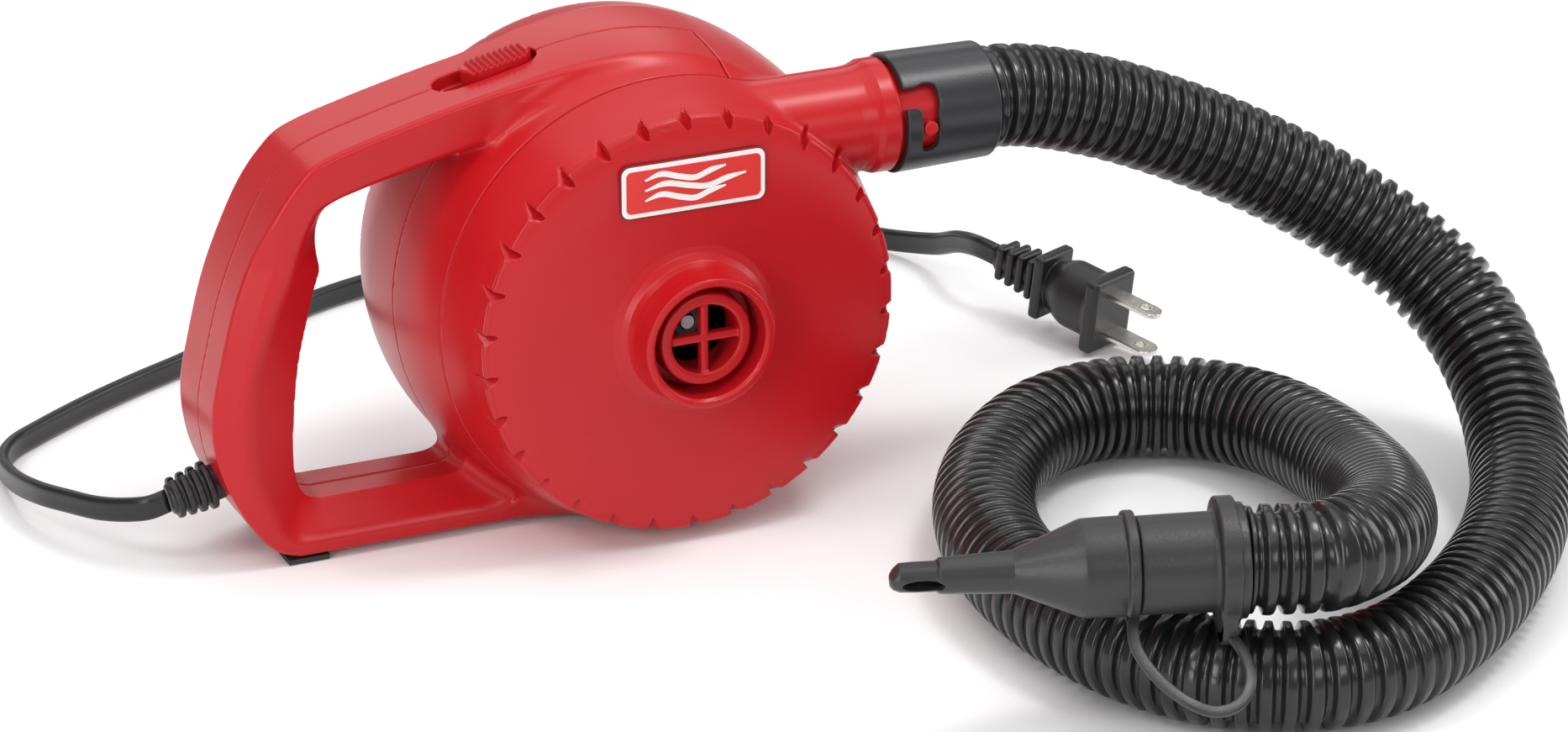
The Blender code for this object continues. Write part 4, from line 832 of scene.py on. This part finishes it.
def blade(side, half):
    """A flat blade with a round tip and a hole; half is half its width."""
    z0 = side * BLADE_OFFSET

    def shape(x, y, z):
        tip = np.hypot(x, np.maximum(y - (BLADE_LENGTH - half * 0.95), 0) * 1.05) - half
        body = smax(np.maximum(tip, -0.3 - y), np.abs(z - z0) - BLADE_HALF_THICKNESS, 0.35)
        return smax(body, -(np.hypot(x, y - 12.0) - 1.6), 0.25)
    return shape


def add_plug():
    place = own_frame(PLUG_FACE, PLUG_FACE + PLUG_AXIS)
    body = dress(moulded("plug_skin", plug, (-11, -48, -14), (11, 2, 14), 0.45, place), PLUG)
    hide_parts("plug_body")
    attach(body, "housing")
    pieces = [body]
    for word, side, half in (("live", 1, 3.2), ("neutral", -1, 4.0)):
        obj = moulded(f"blade_{word}_skin", blade(side, half), (-5, -1, side * BLADE_OFFSET - 1.6),
                      (5, 19, side * BLADE_OFFSET + 1.6), 0.3, place)
        dress(obj, NICKEL)
        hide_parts(f"blade_{word}")
        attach(obj, "housing")
        pieces.append(obj)
    start = RELIEF_START + FAN
    place = own_frame(start, start + RELIEF_AXIS)
    obj = moulded("strain_relief_skin", relief, (-9, -1, -9), (9, 23, 9), 0.35, place)
    dress(obj, PLUG)
    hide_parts("strain_relief")
    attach(obj, "housing")
    return pieces


# ---------------------------------------------------------------- CAD pieces that stay

def dress_nodes():
    """Materials for the CAD nodes that stay, by how a node's name starts; the first that fits counts."""
    looks = {"foot_": RUBBER, "fan_plate": DARK, "impeller_nut": FERRITE, "impeller": DARK,
             "motor_can": STEEL, "motor_end_cap": DARK, "front_bush": BRONZE, "rear_bush": BRONZE,
             "magnet_": FERRITE,
             "armature_core": STEEL, "winding_": COPPER, "commutator": COPPER, "brush_holder": BRONZE,
             "brush_spring": STEEL, "brush_": CARBON, "motor_shaft": STEEL, "cooling_fan": DARK,
             "motor_screw": STEEL, "housing_screw": STEEL, "vent_screw": STEEL, "rectifier": BOARD,
             "switch_body": DARK, "switch_slider": NYLON, "wire_neutral": NYLON, "wire_motor_plus": PRINT,
             "wire_": CARBON}
    for name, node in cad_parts.items():
        for start, look in looks.items():
            if name.startswith(start):
                for slot in node.material_slots:
                    slot.material = look
                break


# ---------------------------------------------------------------- floor, light and camera

def area(name, place, aim, size, power, size_y):
    light = bpy.data.lights.new(name, "AREA")
    light.energy = power
    light.shape = "RECTANGLE"
    light.size = size
    light.size_y = size_y
    obj = bpy.data.objects.new(name, light)
    obj.location = place
    obj.rotation_euler = (Vector(aim) - Vector(place)).to_track_quat("-Z", "Y").to_euler()
    bpy.context.scene.collection.objects.link(obj)


def add_stage():
    half, z = 6.0, -0.0003
    corners = [(-half, -half, z), (half, -half, z), (half, half, z), (-half, half, z)]
    floor = piece_from("floor", corners, [(0, 1, 2, 3)])
    made, _, shader = nodes_of("white floor")
    shader.inputs["Base Color"].default_value = (0.93, 0.93, 0.935, 1)
    shader.inputs["Roughness"].default_value = 0.7
    dress(floor, made)
    bpy.context.scene.view_settings.view_transform = "Standard"
    world = bpy.data.worlds.new("studio")
    bpy.context.scene.world = world
    world.use_nodes = True
    world.node_tree.nodes["Background"].inputs["Color"].default_value = (1, 1, 1, 1)
    world.node_tree.nodes["Background"].inputs["Strength"].default_value = 0.34
    area("top softbox", (0.15, 0.0, 1.6), (0.08, 0.0, 0.0), 2.4, 18, 2.0)
    area("key", (0.6, -0.3, 1.5), (0.08, -0.05, 0.08), 0.35, 6, 0.35)
    area("left softbox", (-1.15, -0.95, 0.55), (-0.1, 0, 0.06), 0.45, 8, 1.0)
    area("upper left softbox", (-1.05, -0.25, 1.35), (0, 0, 0.08), 0.45, 4.5, 0.45)
    area("back softbox", (0.25, 1.7, 0.95), (0, 0, 0.1), 1.6, 3.2, 0.6)
    area("front fill", (0.3, -1.8, 0.9), (0.05, -0.05, 0.06), 1.0, 6, 0.5)
    area("right softbox", (1.4, -0.2, 0.6), (0.1, -0.05, 0.05), 0.5, 5, 0.9)


def add_camera():
    lens = bpy.data.cameras.new("camera")
    lens.sensor_width = SENSOR_WIDTH
    lens.lens = FOCAL_LENGTH
    camera = bpy.data.objects.new("camera", lens)
    camera.location = (-0.5855, -1.4828, 0.7241)
    camera.rotation_euler = (math.radians(90 - 23.2), 0, math.radians(-23.6))
    bpy.context.scene.collection.objects.link(camera)
    bpy.context.scene.camera = camera


add_stage()
add_camera()
hose, hose_path, hose_length = add_hose()
cord, cord_path, cord_length = add_cord()
add_housing()
add_badge()
nozzle_pieces = add_nozzle()
plug_pieces = add_plug()
dress_nodes()
